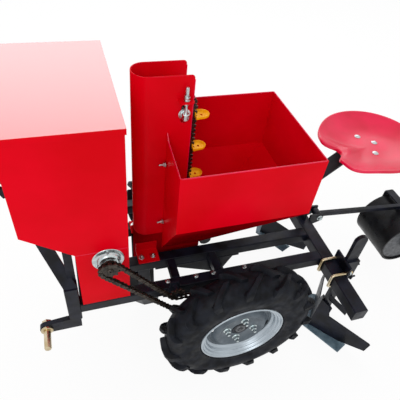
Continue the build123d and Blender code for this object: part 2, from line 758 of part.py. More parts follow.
# Lower elevator shaft with the lower cup sprocket and the drive sprocket
with BuildPart() as lift_shaft:
    with BuildSketch(side_plane(tower_half_width + flange_bearing_width + 4)):
        with Locations((lift_x, lift_bottom_z)):
            Circle(lift_shaft_r)
    extrude(amount=tower_half_width + flange_bearing_width + 4 - lift_chain_y + sprocket_width / 2 + 4)
    with BuildSketch(side_plane(0)):
        with Locations((lift_x, lift_bottom_z)):
            sprocket_face(cup_sprocket_teeth)
    extrude(amount=sprocket_width / 2, both=True)
    with BuildSketch(side_plane(lift_chain_y)):
        with Locations((lift_x, lift_bottom_z)):
            sprocket_face(lift_drive_teeth)
    extrude(amount=sprocket_width / 2, both=True)
lift_shaft.part.label = "lift_shaft"
export_step(lift_shaft.part, "parts/lift_shaft.step")

# Flanged bearings of the fertiliser shaft and of the lower elevator shaft
with BuildPart() as flange_bearings:
    for side, word in sides:
        for x, z, r, flange_r, face in ((feed_x, feed_z, feed_shaft_r, flange_bearing_r, side * fert_half_width),
                                        (lift_x, lift_bottom_z, lift_shaft_r, lift_flange_r, side * tower_half_width)):
            with BuildSketch(cross_plane(x)):
                with BuildLine():
                    Polyline((face, z + r + shaft_gap), (face + side * flange_bearing_width, z + r + shaft_gap),
                             (face + side * flange_bearing_width, z + r + 9), (face + side * 10, z + r + 13),
                             (face + side * 4, z + flange_r - 8), (face + side * 4, z + flange_r), (face, z + flange_r),
                             close=True)
                make_face()
            revolve(axis=Axis((axle_x + x, 0, z), (0, 1, 0)))
flange_bearings.part.label = "flange_bearings"
export_step(flange_bearings.part, "parts/flange_bearings.step")

# Cup chain and its cups
cup_loop = [(lift_x, lift_top_z, pitch_radius(cup_sprocket_teeth)), (lift_x, lift_bottom_z, pitch_radius(cup_sprocket_teeth))]
with BuildPart() as cup_chain:
    chain_solids(cup_loop, 0)
cup_chain.part.label = "cup_chain"
export_step(cup_chain.part, "parts/cup_chain.step")


def cup_place(travelled):
    # Point and outward direction on the cup chain's pitch line, from the foot of the rising strand.
    r = pitch_radius(cup_sprocket_teeth)
    straight = lift_top_z - lift_bottom_z
    arc = pi * r
    travelled %= 2 * (straight + arc)
    if travelled < straight:
        return (lift_x - r, lift_bottom_z + travelled), 180
    travelled -= straight
    if travelled < arc:
        angle = 180 - travelled / r * 180 / pi
        return (lift_x + r * cos(radians(angle)), lift_top_z + r * sin(radians(angle))), angle
    travelled -= arc
    if travelled < straight:
        return (lift_x + r, lift_top_z - travelled), 0
    travelled -= straight
    angle = -travelled / r * 180 / pi
    return (lift_x + r * cos(radians(angle)), lift_bottom_z + r * sin(radians(angle))), angle


loop_length = 2 * (lift_top_z - lift_bottom_z) + 2 * pi * pitch_radius(cup_sprocket_teeth)
cup_count = cup_chain_links // cup_spacing_links
with BuildPart() as seed_cups:
    for i in range(cup_count):
        (x, z), angle = cup_place(first_cup_links * pitch + i * loop_length / cup_count)
        out = Vector(cos(radians(angle)), 0, sin(radians(angle)))
        up = Vector(sin(radians(angle)), 0, -cos(radians(angle)))
        root = Vector(axle_x + x, 0, z) + out * (chain_height / 2 + 0.2)
        with BuildSketch(Plane(origin=root, x_dir=out, z_dir=up)):
            with Locations((cup_reach - cup_r, 0)):
                RegularPolygon(cup_r, cup_facets)
            with Locations(((cup_reach - cup_r) / 2, 0)):
                Rectangle(cup_reach - cup_r, 2 * (chain_gap + link_plate))
        extrude(amount=cup_wall)
        with BuildSketch(Plane(origin=root, x_dir=out, z_dir=up)):
            with Locations((cup_reach - cup_r, 0)):
                RegularPolygon(cup_r, cup_facets)
                RegularPolygon(cup_r - cup_wall, cup_facets, mode=Mode.SUBTRACT)
        extrude(amount=cup_wall + cup_depth)
seed_cups.part.label = "seed_cups"
export_step(seed_cups.part, "parts/seed_cups.step")

# Seed hopper: an open box over a hipped bottom, cut for the tower, with a front sheet that climbs to meet it
hopper_forms = []
for skin in (0, sheet):
    with BuildPart() as hopper_form:
        with BuildSketch(side_plane(0)):
            with BuildLine():
                Polyline((seed_rear_x + skin, seed_top), (seed_rear_x + skin, seed_wall_bottom),
                         (boot_rear_x + skin, seed_sump_z), (seed_front_x - skin, seed_sump_z),
                         (seed_front_x - skin, seed_top), close=True)
            make_face()
        extrude(amount=seed_half_width - skin, both=True)
        with BuildSketch(cross_plane(seed_rear_x)):
            with BuildLine():
                neck = tower_half_width + sheet - skin
                wide = seed_half_width - skin
                Polyline((wide, seed_top), (wide, seed_wall_bottom), (neck, seed_sump_z),
                         (-neck, seed_sump_z), (-wide, seed_wall_bottom), (-wide, seed_top), close=True)
            make_face()
        extrude(amount=seed_front_x - seed_rear_x, mode=Mode.INTERSECT)
    hopper_forms.append(hopper_form.part)

with BuildPart() as seed_hopper:
    add(hopper_forms[0])
    add(hopper_forms[1], mode=Mode.SUBTRACT)
    for side, word in sides:
        with BuildSketch(cross_plane(seed_front_x)):
            with BuildLine():
                Polyline((side * tower_half_width, seed_wall_bottom), (side * seed_half_width, seed_wall_bottom),
                         (side * seed_half_width, seed_top), (side * (tower_half_width + 20), seed_top + seed_rise / 2),
                         (side * tower_half_width, seed_top + seed_rise), close=True)
            make_face()
        extrude(amount=-sheet)
    with BuildSketch(level_plane(seed_sump_z)):
        with Locations(((tower_rear_x - 1 + seed_front_x) / 2, 0)):
            Rectangle(seed_front_x - tower_rear_x + 1, 2 * tower_half_width)
    extrude(amount=seed_top + seed_rise - seed_sump_z, mode=Mode.SUBTRACT)
seed_hopper.part.label = "seed_hopper"
export_step(seed_hopper.part, "parts/seed_hopper.step")

# Hitch: a leg on each side with a lug for the lower link pin
with BuildPart() as hitch_legs:
    for side, word in sides:
        with BuildSketch(level_plane(leg_bottom)):
            with Locations((leg_mid_x, side * outer_rail_y)):
                RectangleRounded(rail_tube, rail_tube, tube_round)
                Rectangle(rail_tube - 2 * tube_wall, rail_tube - 2 * tube_wall, mode=Mode.SUBTRACT)
        extrude(amount=leg_top - leg_bottom)
        with BuildSketch(level_plane(leg_top)):
            with Locations((leg_mid_x, side * outer_rail_y)):
                RectangleRounded(rail_tube, rail_tube, tube_round)
        extrude(amount=-tube_wall)
        with BuildSketch(side_plane(side * (frame_half_width - lug_plate / 2))):
            with BuildLine():
                Polyline((rail_front_x + 5, pin_z - lug_end_r), (pin_x, pin_z - lug_end_r), (pin_x, pin_z + lug_end_r),
                         (rail_front_x + rail_tube + 8, leg_bottom + 8), (rail_front_x + 5, leg_bottom + 8), close=True)
            make_face()
            with Locations((pin_x, pin_z)):
                Circle(lug_end_r)
                Circle(pin_r, mode=Mode.SUBTRACT)
        extrude(amount=lug_plate / 2, both=True)
hitch_legs.part.label = "hitch_legs"
export_step(hitch_legs.part, "parts/hitch_legs.step")

# Lower link pins, held in the lugs
with BuildPart() as lower_link_pins:
    for side, word in sides:
        inner_y = frame_half_width - lug_plate - 16
        with BuildSketch(side_plane(side * inner_y)):
            with Locations((pin_x, pin_z)):
                Circle(pin_r)
        extrude(amount=-side * (pin_outer_y - inner_y))
        with BuildSketch(side_plane(side * frame_half_width)):
            with Locations((pin_x, pin_z)):
                Circle(pin_shoulder_r)
        extrude(amount=-side * pin_shoulder)
        with BuildSketch(side_plane(side * (frame_half_width - lug_plate))):
            with Locations((pin_x, pin_z)):
                RegularPolygon(pin_shoulder_r, 6)
        extrude(amount=side * 14)
lower_link_pins.part.label = "lower_link_pins"
export_step(lower_link_pins.part, "parts/lower_link_pins.step")

# Mast: two flat bars that lean in and forward from the legs to the ears of the top link, and the struts under the hopper
with BuildPart() as hitch_mast:
    for side, word in sides:
        ear_y = side * (top_link_gap / 2 + top_link_plate / 2)
        with BuildSketch(side_plane(ear_y)):
            with BuildLine():
                Polyline((top_link_x - 40, top_link_z - 44), (top_link_x + 6, top_link_z - 44),
                         (top_link_x + top_link_end_r, top_link_z), (top_link_x - top_link_end_r, top_link_z), close=True)
            make_face()
            with Locations((top_link_x, top_link_z)):
                Circle(top_link_end_r)
                Circle(top_link_r, mode=Mode.SUBTRACT)
        extrude(amount=top_link_plate / 2, both=True)
        foot = Vector(axle_x + leg_mid_x, side * mast_foot_y, leg_top)
        head = Vector(axle_x + top_link_x - 17, ear_y, top_link_z - 26)
        rise = head - foot
        face = Vector(0, -rise.Z, rise.Y)
        with BuildSketch(Plane(origin=foot, x_dir=(1, 0, 0), z_dir=face)):
            slant = hypot(rise.Y, rise.Z)
            half = mast_bar_width / 2
            Polygon((-half - rise.X * 0.08, -slant * 0.08), (half - rise.X * 0.08, -slant * 0.08),
                    (half + rise.X, slant), (-half + rise.X, slant), align=None)
        extrude(amount=mast_bar / 2, both=True)
        with BuildSketch(side_plane(side * strut_y)):
            with BuildLine():
                rear_x = rail_front_x + 1
                slope = (fert_break_z - chute_top_z) / (fert_front_x - chute_front_x)
                rear_z = chute_top_z + slope * (rear_x - chute_front_x)
                Polyline((rear_x, leg_top), (rear_x + strut_width, leg_top),
                         (rear_x + strut_width, rear_z + slope * strut_width), (rear_x, rear_z), close=True)
            make_face()
        extrude(amount=strut_plate / 2, both=True)
    split(bisect_by=Plane.XY.offset(leg_top), keep=Keep.TOP)
hitch_mast.part.label = "hitch_mast"
export_step(hitch_mast.part, "parts/hitch_mast.step")

# Seat arm: a flat bar that rises from the toolbar and bends back under the seat
with BuildPart() as seat_arm:
    with BuildSketch(side_plane(0)):
        with BuildLine() as route:
            FilletPolyline((toolbar_mid_x, rail_top), (toolbar_mid_x, rail_top + 165), (seat_x + 70, seat_z - seat_arm_bar / 2),
                           (seat_x - 60, seat_z - seat_arm_bar / 2), radius=50)
        trace(line_width=seat_arm_bar)
    extrude(amount=seat_arm_width / 2, both=True)
seat_arm.part.label = "seat_arm"
export_step(seat_arm.part, "parts/seat_arm.step")

# Seat: a pressed pan, bowl shaped, with a notch in front
with BuildPart() as seat_pan:
    with BuildSketch(cross_plane(seat_x)):
        with BuildLine():
            under = [(0, seat_z)] + [(r, seat_z + rise) for r, rise in seat_bands]
            Polyline(*under, *[(r, z + seat_sheet) for r, z in reversed(under)], close=True)
        make_face()
    revolve(axis=Axis((axle_x + seat_x, 0, 0), (0, 0, 1)))
    with BuildSketch(level_plane(seat_z - 20)):
        with Locations((seat_x, 0)):
            Ellipse(seat_depth / 2, seat_half_width)
        with Locations((seat_x + seat_depth / 2, 0)):
            Ellipse(seat_notch_depth, seat_notch_width / 2, mode=Mode.SUBTRACT)
    extrude(amount=140, mode=Mode.INTERSECT)
seat_pan.part.label = "seat_pan"
export_step(seat_pan.part, "parts/seat_pan.step")

# Roller bracket on the toolbar, with the pivot pin of the arm
with BuildPart() as roller_bracket:
    for side, word in sides:
        with BuildSketch(side_plane(side * (arm_tube / 2 + run_gap + 4))):
            with BuildLine():
                Polyline((toolbar_rear_x, rail_top - 40), (toolbar_rear_x, rail_top + 18), (arm_pivot_x - 16, arm_z + 16),
                         (arm_pivot_x - 16, arm_z - 16), close=True)
            make_face()
        extrude(amount=4, both=True)
    with BuildSketch(side_plane(0)):
        with Locations((arm_pivot_x, arm_z)):
            Circle(arm_pivot_r)
    extrude(amount=arm_tube / 2 + run_gap + 8, both=True)
roller_bracket.part.label = "roller_bracket"
export_step(roller_bracket.part, "parts/roller_bracket.step")

# Roller arm with its yoke
with BuildPart() as roller_arm:
    with BuildSketch(side_plane(0)):
        with Locations(((arm_pivot_x + 14 + roller_x - 20) / 2, arm_z)):
            Rectangle(arm_pivot_x + 14 - roller_x + 20, arm_tube)
    extrude(amount=arm_tube / 2, both=True)
    yoke_top = roller_z + roller_r + 18
    with BuildSketch(level_plane(yoke_top)):
        with Locations((roller_x, 0)):
            Rectangle(yoke_width, 2 * (roller_half_length + run_gap + yoke_bar))
    extrude(amount=yoke_bar)
    with BuildSketch(level_plane(yoke_top)):
        with Locations((roller_x, 0)):
            Rectangle(arm_tube, arm_tube)
    extrude(amount=arm_z - yoke_top)
    for side, word in sides:
        with BuildSketch(side_plane(side * (roller_half_length + run_gap))):
            with Locations((roller_x, (roller_z + yoke_top) / 2)):
                Rectangle(yoke_width, yoke_top - roller_z)
            with Locations((roller_x, roller_z)):
                Circle(yoke_width / 2)
                Circle(roller_axle_r + shaft_gap, mode=Mode.SUBTRACT)
        extrude(amount=-side * yoke_bar)
    with BuildSketch(side_plane(0)):
        with Locations((arm_pivot_x, arm_z)):
            Circle(arm_pivot_r + shaft_gap)
    extrude(amount=arm_tube, both=True, mode=Mode.SUBTRACT)
roller_arm.part.label = "roller_arm"
export_step(roller_arm.part, "parts/roller_arm.step")

with BuildPart() as press_roller:
    with BuildSketch(side_plane(0)):
        with Locations((roller_x, roller_z)):
            Circle(roller_r)
    extrude(amount=roller_half_length, both=True)
    for side, word in sides:
        with BuildSketch(side_plane(side * roller_half_length)):
            with Locations((roller_x, roller_z)):
                Circle(roller_r - roller_rim)
        extrude(amount=side * roller_recess, mode=Mode.SUBTRACT)
    with BuildSketch(side_plane(0)):
        with Locations((roller_x, roller_z)):
            Circle(roller_axle_r)
    extrude(amount=roller_half_length + run_gap + yoke_bar + 6, both=True)
press_roller.part.label = "press_roller"
export_step(press_roller.part, "parts/press_roller.step")

# Ridging bodies behind the toolbar: a flat shank behind a clamp plate, with a wedge-shaped foot, and two wings
nose_dir = Vector(-wing_rake, 0, 1)
clamp_rear_x = toolbar_rear_x - clamp_plate
shank_mid_x = clamp_rear_x - shank_depth / 2
spread = radians(wing_sweep)
for side, word in sides:
    foot_plane = Plane(origin=(axle_x + ridger_nose_x, side * ridger_y, 0), x_dir=(1, 0, wing_rake), z_dir=nose_dir)
    with BuildPart() as ridger_shank:
        with BuildSketch(side_plane(side * ridger_y)):
            with BuildLine():
                Polyline((clamp_rear_x, shank_top - shank_depth / 2), (clamp_rear_x, 300), (ridger_nose_x - 14, wing_height + 20),
                         (ridger_nose_x - 18, share_plate), (ridger_nose_x - 58, share_plate),
                         (ridger_nose_x - 58, wing_height + 20), (clamp_rear_x - shank_depth, 310),
                         (clamp_rear_x - shank_depth, shank_top - shank_depth / 2), close=True)
            make_face()
            with Locations((shank_mid_x, shank_top - shank_depth / 2)):
                Circle(shank_depth / 2)
        extrude(amount=shank_width / 2, both=True)
        with BuildSketch(foot_plane):
            Polygon((0, 0), (-foot_depth, foot_depth * tan(spread)), (-foot_depth, -foot_depth * tan(spread)), align=None)
        extrude(amount=wing_height - 20)
        with BuildSketch(level_plane(share_plate)):
            with Locations((ridger_nose_x, side * ridger_y)):
                Rectangle(4 * foot_depth, 4 * foot_depth)
        extrude(amount=-2 * share_plate, mode=Mode.SUBTRACT)
        with BuildSketch(cross_plane(toolbar_rear_x)):
            with Locations((side * ridger_y, clamp_mid_z)):
                Rectangle(clamp_width, clamp_height)
        extrude(amount=-clamp_plate)
        with BuildSketch(level_plane(clamp_mid_z)):
            with Locations((clamp_rear_x - shank_depth, side * ridger_y)):
                Rectangle(2 * keeper_plate, shank_width + 2 * keeper_plate)
            with Locations((shank_mid_x, side * ridger_y)):
                Rectangle(shank_depth, shank_width + 2 * keeper_plate)
        extrude(amount=keeper_height / 2, both=True)
        with BuildSketch(cross_plane(toolbar_rear_x)):
            for bolt in (-1, 1):
                with Locations((side * ridger_y + bolt * u_bolt_spacing / 2, toolbar_mid_z - u_bolt_reach),
                               (side * ridger_y + bolt * u_bolt_spacing / 2, toolbar_mid_z + u_bolt_reach)):
                    Rectangle(2 * u_bolt_r + 1, 2 * u_bolt_r + 1)
        extrude(amount=-clamp_plate, mode=Mode.SUBTRACT)
    ridger_shank.part.label = f"ridger_shank_{word}"
    export_step(ridger_shank.part, f"parts/ridger_shank_{word}.step")

    with BuildPart() as ridger_wings:
        reach = wing_length * tan(spread)
        skin = wing_plate / sin(spread)
        with BuildSketch(foot_plane):
            Polygon((skin, 0), (skin - wing_length, reach), (-wing_length, reach), (0, 0),
                    (-wing_length, -reach), (skin - wing_length, -reach), align=None)
        extrude(amount=wing_height, both=True)
        with BuildSketch(side_plane(side * ridger_y)):
            with BuildLine():
                Polyline((ridger_nose_x + 20, share_plate), (ridger_nose_x + 20, wing_height), (ridger_nose_x - 6, wing_height),
                         (ridger_nose_x - 27, wing_height - 18), (ridger_nose_x - 37, 116), (ridger_nose_x - wing_length + 4, 88),
                         (ridger_nose_x - wing_length + 10, 34), (ridger_nose_x - 80, share_plate), close=True)
            make_face()
        extrude(amount=2 * reach, both=True, mode=Mode.INTERSECT)
    ridger_wings.part.label = f"ridger_wings_{word}"
    export_step(ridger_wings.part, f"parts/ridger_wings_{word}.step")

# Shares: flat V-shaped blades that run on the ground under the wings
with BuildPart() as ridger_shares:
    for side, word in sides:
        with BuildSketch(level_plane(0)):
            with Locations((0, side * ridger_y)):
                Polygon((share_tip_x, 0), (share_tip_x - 84, share_reach), (share_tip_x - 134, share_reach - 22),
                        (share_tip_x - 60, 0), (share_tip_x - 134, 22 - share_reach), (share_tip_x - 84, -share_reach), align=None)
        extrude(amount=share_plate)
ridger_shares.part.label = "ridger_shares"
export_step(ridger_shares.part, "parts/ridger_shares.step")

# U-bolts that clamp the shanks to the toolbar, each leg with its nut behind the clamp plate
with BuildPart() as ridger_u_bolts:
    for side, word in sides:
        for bolt in (-1, 1):
            bolt_y = side * ridger_y + bolt * u_bolt_spacing / 2
            with BuildSketch(side_plane(bolt_y)):
                with BuildLine():
                    rear_x = clamp_rear_x - 16
                    low, high = toolbar_mid_z - u_bolt_reach, toolbar_mid_z + u_bolt_reach
                    front_x = toolbar_front_x + u_bolt_r
                    r = u_bolt_r
                    Polyline((rear_x, high + r), (front_x - r, high + r), (front_x + r, high - r),
                             (front_x + r, low + r), (front_x - r, low - r), (rear_x, low - r), (rear_x, low + r),
                             (front_x - r, low + r), (front_x - r, high - r), (rear_x, high - r), close=True)
                make_face()
            extrude(amount=u_bolt_r * 0.85, both=True)
            with BuildSketch(cross_plane(clamp_rear_x)):
                with Locations((bolt_y, toolbar_mid_z + u_bolt_reach), (bolt_y, toolbar_mid_z - u_bolt_reach)):
                    RegularPolygon(10, 6)
            extrude(amount=-9)
ridger_u_bolts.part.label = "ridger_u_bolts"
export_step(ridger_u_bolts.part, "parts/ridger_u_bolts.step")

# Furrow opener under the boot: a pointed shoe on two cheek plates between the inner rails
with BuildPart() as furrow_opener:
    inner = opener_half_width - opener_plate
    with BuildSketch(level_plane(0)):
        Polygon((opener_nose_x, 0), (opener_shoulder_x, opener_half_width), (opener_rear_x, opener_half_width),
                (opener_rear_x, -opener_half_width), (opener_shoulder_x, -opener_half_width), align=None)
        Polygon((opener_nose_x - 12, 0), (opener_shoulder_x - 4, inner), (opener_rear_x, inner),
                (opener_rear_x, -inner), (opener_shoulder_x - 4, -inner), align=None, mode=Mode.SUBTRACT)
    extrude(amount=opener_height)
    for side, word in sides:
        with BuildSketch(side_plane(side * opener_half_width)):
            with BuildLine():
                Polyline((opener_rear_x + 10, opener_height), (opener_shoulder_x, opener_height), (opener_shoulder_x, rail_top - 4),
                         (opener_rear_x + 40, rail_top - 4), close=True)
            make_face()
        extrude(amount=side * opener_plate)
furrow_opener.part.label = "furrow_opener"
export_step(furrow_opener.part, "parts/furrow_opener.step")
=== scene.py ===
import bmesh
import bpy
import json
import math
from mathutils import Matrix, Vector


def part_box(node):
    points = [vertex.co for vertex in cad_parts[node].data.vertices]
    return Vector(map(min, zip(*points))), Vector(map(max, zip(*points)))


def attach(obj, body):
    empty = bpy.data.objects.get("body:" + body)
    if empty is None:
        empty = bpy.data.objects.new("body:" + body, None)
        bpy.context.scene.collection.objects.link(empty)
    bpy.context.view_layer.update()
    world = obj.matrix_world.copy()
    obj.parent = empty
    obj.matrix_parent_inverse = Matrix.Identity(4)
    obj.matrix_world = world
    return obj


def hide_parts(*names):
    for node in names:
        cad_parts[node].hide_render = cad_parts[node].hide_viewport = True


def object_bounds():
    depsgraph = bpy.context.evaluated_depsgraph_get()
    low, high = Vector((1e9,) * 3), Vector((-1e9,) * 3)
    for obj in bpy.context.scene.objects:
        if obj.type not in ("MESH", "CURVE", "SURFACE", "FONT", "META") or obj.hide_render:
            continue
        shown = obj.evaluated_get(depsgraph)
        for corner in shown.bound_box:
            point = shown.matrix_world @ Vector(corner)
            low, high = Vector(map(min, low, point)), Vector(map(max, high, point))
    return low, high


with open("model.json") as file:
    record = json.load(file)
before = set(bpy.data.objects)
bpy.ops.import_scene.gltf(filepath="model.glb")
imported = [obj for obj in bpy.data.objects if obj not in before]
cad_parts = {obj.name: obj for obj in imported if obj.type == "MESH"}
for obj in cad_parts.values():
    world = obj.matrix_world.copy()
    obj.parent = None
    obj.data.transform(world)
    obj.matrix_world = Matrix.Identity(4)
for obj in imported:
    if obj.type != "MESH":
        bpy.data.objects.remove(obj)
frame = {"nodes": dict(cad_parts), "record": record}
cad_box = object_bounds()

# Sizes in millimetres: x forward of the wheel axle, y to the left, z above the floor
MM = 0.001
AXLE_X = sum(corner.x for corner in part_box("tyre_left")) / 2
SIDES = {"left": 1, "right": -1}
WHEEL_Z = 277
HALF_TRACK = 332
FRAME_TOP = 402
FEED_SHAFT = (412, 607)         # x and z
IDLER = (207, 424)
LIFT_X, LIFT_LOW, LIFT_HIGH = 163, 455, 955
ARM_PIVOT = (-446, 400)
ROLLER = (-904, 211)
CHAIN_Y = 259
RIDGER_Y = 268
TOWER_HALF = 42                 # half the tower's width, over its sheet


def spot(x, y, z):
    # A place on the machine, in the frame's metres.
    return Vector((AXLE_X + x * MM, y * MM, z * MM))


# Camera, at the photographer's eye height beside the left front corner
YAW, PITCH, ROLL = math.radians(21.8744), math.radians(43.6672), math.radians(-7.4039)
LENS_MM = 38.4
look = Vector((-math.sin(YAW) * math.cos(PITCH), -math.cos(YAW) * math.cos(PITCH), -math.sin(PITCH)))
level_right = Vector((-math.cos(YAW), math.sin(YAW), 0))
level_down = look.cross(level_right)
right = math.cos(ROLL) * level_right + math.sin(ROLL) * level_down
down = math.cos(ROLL) * level_down - math.sin(ROLL) * level_right
camera = bpy.data.objects.new("camera", bpy.data.cameras.new("camera"))
bpy.context.scene.collection.objects.link(camera)
camera.data.sensor_width = 36
camera.data.lens = LENS_MM
camera.data.clip_start = 0.05
camera.matrix_world = Matrix.Translation(spot(467.256, 995.765, 1594.088)) @ Matrix(
    (right, -down, -look)).transposed().to_4x4()
bpy.context.scene.camera = camera


def colour(code):
    # A hex colour as it looks on screen, turned to linear light.
    parts = [int(code[i:i + 2], 16) / 255 for i in (1, 3, 5)]
    return [p / 12.92 if p <= 0.04045 else ((p + 0.055) / 1.055) ** 2.4 for p in parts] + [1]


def add(tree, kind, settings=(), links=()):
    # A node with its settings, as (name, value), and its links, as (own socket, other socket).
    node = tree.nodes.new(kind)
    for name, value in settings:
        if isinstance(name, int) or name in node.inputs:
            node.inputs[name].default_value = value
        else:
            setattr(node, name, value)
    for name, source in links:
        tree.links.new(source, node.inputs[name])
    return node


def finish_of(name, base, roughness, metallic=0.0):
    # A bare surface of one colour; the caller adds its pattern.
    material = bpy.data.materials.new(name)
    material.use_nodes = True
    shader = material.node_tree.nodes["Principled BSDF"]
    shader.inputs["Base Color"].default_value = colour(base)
    shader.inputs["Roughness"].default_value = roughness
    shader.inputs["Metallic"].default_value = metallic
    return material, material.node_tree, shader


def mottle(tree, shader, socket, low, high, size_mm, detail=3.0):
    # Patches of the given size that move a number or a colour between two values.
    where = add(tree, "ShaderNodeTexCoord")
    cloud = add(tree, "ShaderNodeTexNoise", [("Scale", 1 / (size_mm * MM)), ("Detail", detail)],
                [("Vector", where.outputs["Object"])])
    ramp = add(tree, "ShaderNodeValToRGB", [], [("Fac", cloud.outputs["Fac"])])
    for stop, position, value in zip(ramp.color_ramp.elements, (0.35, 0.65), (low, high)):
        stop.position = position
        stop.color = value
    tree.links.new(ramp.outputs["Color"], shader.inputs[socket])


def ripple(tree, shader, size_mm, height_mm, strength):
    # Fine unevenness of the surface.
    where = add(tree, "ShaderNodeTexCoord")
    cloud = add(tree, "ShaderNodeTexNoise", [("Scale", 1 / (size_mm * MM)), ("Detail", 2.0)],
                [("Vector", where.outputs["Object"])])
    bump = add(tree, "ShaderNodeBump", [("Strength", strength), ("Distance", height_mm * MM)],
               [("Height", cloud.outputs["Fac"])])
    tree.links.new(bump.outputs["Normal"], shader.inputs["Normal"])


def grey(value):
    return (value, value, value, 1)


# Sprayed red enamel on sheet steel: deep and saturated, and a little duller in patches; its faint orange peel
# is drawn coarser than it is
red_enamel, tree, shader = finish_of("sprayed red enamel", "#DC0014", 0.34)
mottle(tree, shader, "Base Color", colour("#D40010"), colour("#E2001A"), 220)
mottle(tree, shader, "Roughness", grey(0.28), grey(0.42), 90)
ripple(tree, shader, 3.0, 0.05, 0.12)
shader.inputs["Specular IOR Level"].default_value = 0.04

# Red enamel on undersides: a darker red as painted shade, with a coat that takes no shine
shaded_red_enamel, tree, shader = finish_of("red enamel with painted shade", "#8E0008", 0.8)
mottle(tree, shader, "Base Color", colour("#7C0006"), colour("#9C000C"), 120)
shader.inputs["Specular IOR Level"].default_value = 0.0

# The same enamel, flowed out on the level lid: it takes a broad pale sheen from the light above
flowed_enamel, tree, shader = finish_of("flowed red enamel", "#D8001C", 0.36)
mottle(tree, shader, "Base Color", colour("#D0001A"), colour("#DE0424"), 220)
ripple(tree, shader, 12.0, 0.05, 0.1)
shader.inputs["Coat Weight"].default_value = 1.0
shader.inputs["Coat Roughness"].default_value = 0.28
shader.inputs["Coat IOR"].default_value = 2.1

# Red enamel polished by sitting: a little bluer where it is worn, with soft highlights along the rim. On the
# rolled edges its pinker red is a painted highlight
seat_enamel, tree, shader = finish_of("polished red enamel", "#E0063E", 0.34)
mottle(tree, shader, "Base Color", colour("#D60236"), colour("#EA0C48"), 120)
mottle(tree, shader, "Roughness", grey(0.28), grey(0.4), 60)
shader.inputs["Specular IOR Level"].default_value = 0.3
shader.inputs["Coat Weight"].default_value = 0.25
shader.inputs["Coat Roughness"].default_value = 0.2

# Sprayed black enamel on tube and bar: nearly black, with a soft blue-grey sheen and dusty patches; its
# orange peel is drawn coarser than it is
black_enamel, tree, shader = finish_of("sprayed black enamel", "#0D0F18", 0.36)
shader.inputs["Specular IOR Level"].default_value = 0.2
mottle(tree, shader, "Base Color", colour("#07080E"), colour("#161926"), 45)
mottle(tree, shader, "Roughness", grey(0.3), grey(0.48), 30)
ripple(tree, shader, 4.0, 0.08, 0.2)

# Moulded tyre rubber: matt and nearly black, with grey dust in patches; its skin's unevenness from the
# mould is drawn coarser than it is
tyre_rubber, tree, shader = finish_of("moulded rubber", "#0E0F14", 0.7)
shader.inputs["Specular IOR Level"].default_value = 0.16
mottle(tree, shader, "Base Color", colour("#08090D"), colour("#171A22"), 28, 5.0)
mottle(tree, shader, "Roughness", grey(0.5), grey(0.8), 40)
ripple(tree, shader, 5.0, 0.5, 0.45)

# Silver paint on pressed steel wheels: metal flake too fine to show gives it a broad soft gloss
wheel_silver, tree, shader = finish_of("silver wheel paint", "#AEB8C0", 0.36, 0.6)
mottle(tree, shader, "Base Color", colour("#A6B0B8"), colour("#B6C0C8"), 60)
mottle(tree, shader, "Roughness", grey(0.32), grey(0.4), 60)

# The same paint on the wheel's disc, made darker as painted shade in its dished recess
shaded_silver, tree, shader = finish_of("silver paint with painted shade", "#555E66", 0.46, 0.4)
mottle(tree, shader, "Base Color", colour("#4C555D"), colour("#606A72"), 60)
mottle(tree, shader, "Roughness", grey(0.38), grey(0.56), 18)

# Bright zinc plating on bearings, nuts and bolts: pale and cool, uneven from face to face
bright_zinc, tree, shader = finish_of("bright zinc plate", "#C4CCCC", 0.28, 1.0)
mottle(tree, shader, "Base Color", colour("#B2BCBE"), colour("#D0D8D8"), 14)
mottle(tree, shader, "Roughness", grey(0.24), grey(0.34), 9)

# Yellow zinc plating on U-bolts and hitch pins: pale brass, more or less yellow in patches
yellow_zinc, tree, shader = finish_of("yellow zinc plate", "#C8B898", 0.34, 1.0)
mottle(tree, shader, "Base Color", colour("#BBA67C"), colour("#D6CAB0"), 40)
mottle(tree, shader, "Roughness", grey(0.28), grey(0.4), 20)

# Oiled roller chain steel: dark brown, uneven from plate to plate and glinting on their edges
chain_steel, tree, shader = finish_of("oiled chain steel", "#3A3532", 0.4, 0.85)
mottle(tree, shader, "Base Color", colour("#221E1C"), colour("#524A43"), 6)
mottle(tree, shader, "Roughness", grey(0.3), grey(0.55), 5)

# Injection moulded yellow nylon of the cups: waxy, and a little light comes through
cup_nylon, tree, shader = finish_of("moulded yellow nylon", "#FDB800", 0.45)
shader.inputs["Specular IOR Level"].default_value = 0.1
mottle(tree, shader, "Base Color", colour("#EC9C00"), colour("#FAB200"), 12)
ripple(tree, shader, 1.0, 0.05, 0.2)
shader.inputs["Subsurface Weight"].default_value = 0.08
shader.inputs["Subsurface Radius"].default_value = (0.004, 0.002, 0.0008)

# Blue-grey primer on the ridgers' shares: matt, scuffed paler by handling
share_paint, tree, shader = finish_of("blue-grey primer", "#5C7280", 0.5)
mottle(tree, shader, "Base Color", colour("#4C6270"), colour("#6E8592"), 25, 6.0)
ripple(tree, shader, 2.0, 0.06, 0.25)

# Gloss black paint on the press roller: rubbed half dull by soil, over a slightly uneven rolled sheet
roller_black, tree, shader = finish_of("gloss black paint", "#0A0A0C", 0.3)
shader.inputs["Specular IOR Level"].default_value = 0.16
mottle(tree, shader, "Base Color", colour("#0A0A0B"), colour("#17181C"), 40)
mottle(tree, shader, "Roughness", grey(0.22), grey(0.42), 35)
ripple(tree, shader, 30.0, 1.2, 0.15)

# Grey paint on the roller's end discs and the wheel hubs: flat, with pale specks painted in as reflections
disc_grey, tree, shader = finish_of("grey paint with painted reflection specks", "#4C4E52", 0.42, 0.3)
# The specks are painted reflection
mottle(tree, shader, "Base Color", colour("#3C3E42"), colour("#606266"), 14, 6.0)
ripple(tree, shader, 1.2, 0.05, 0.3)

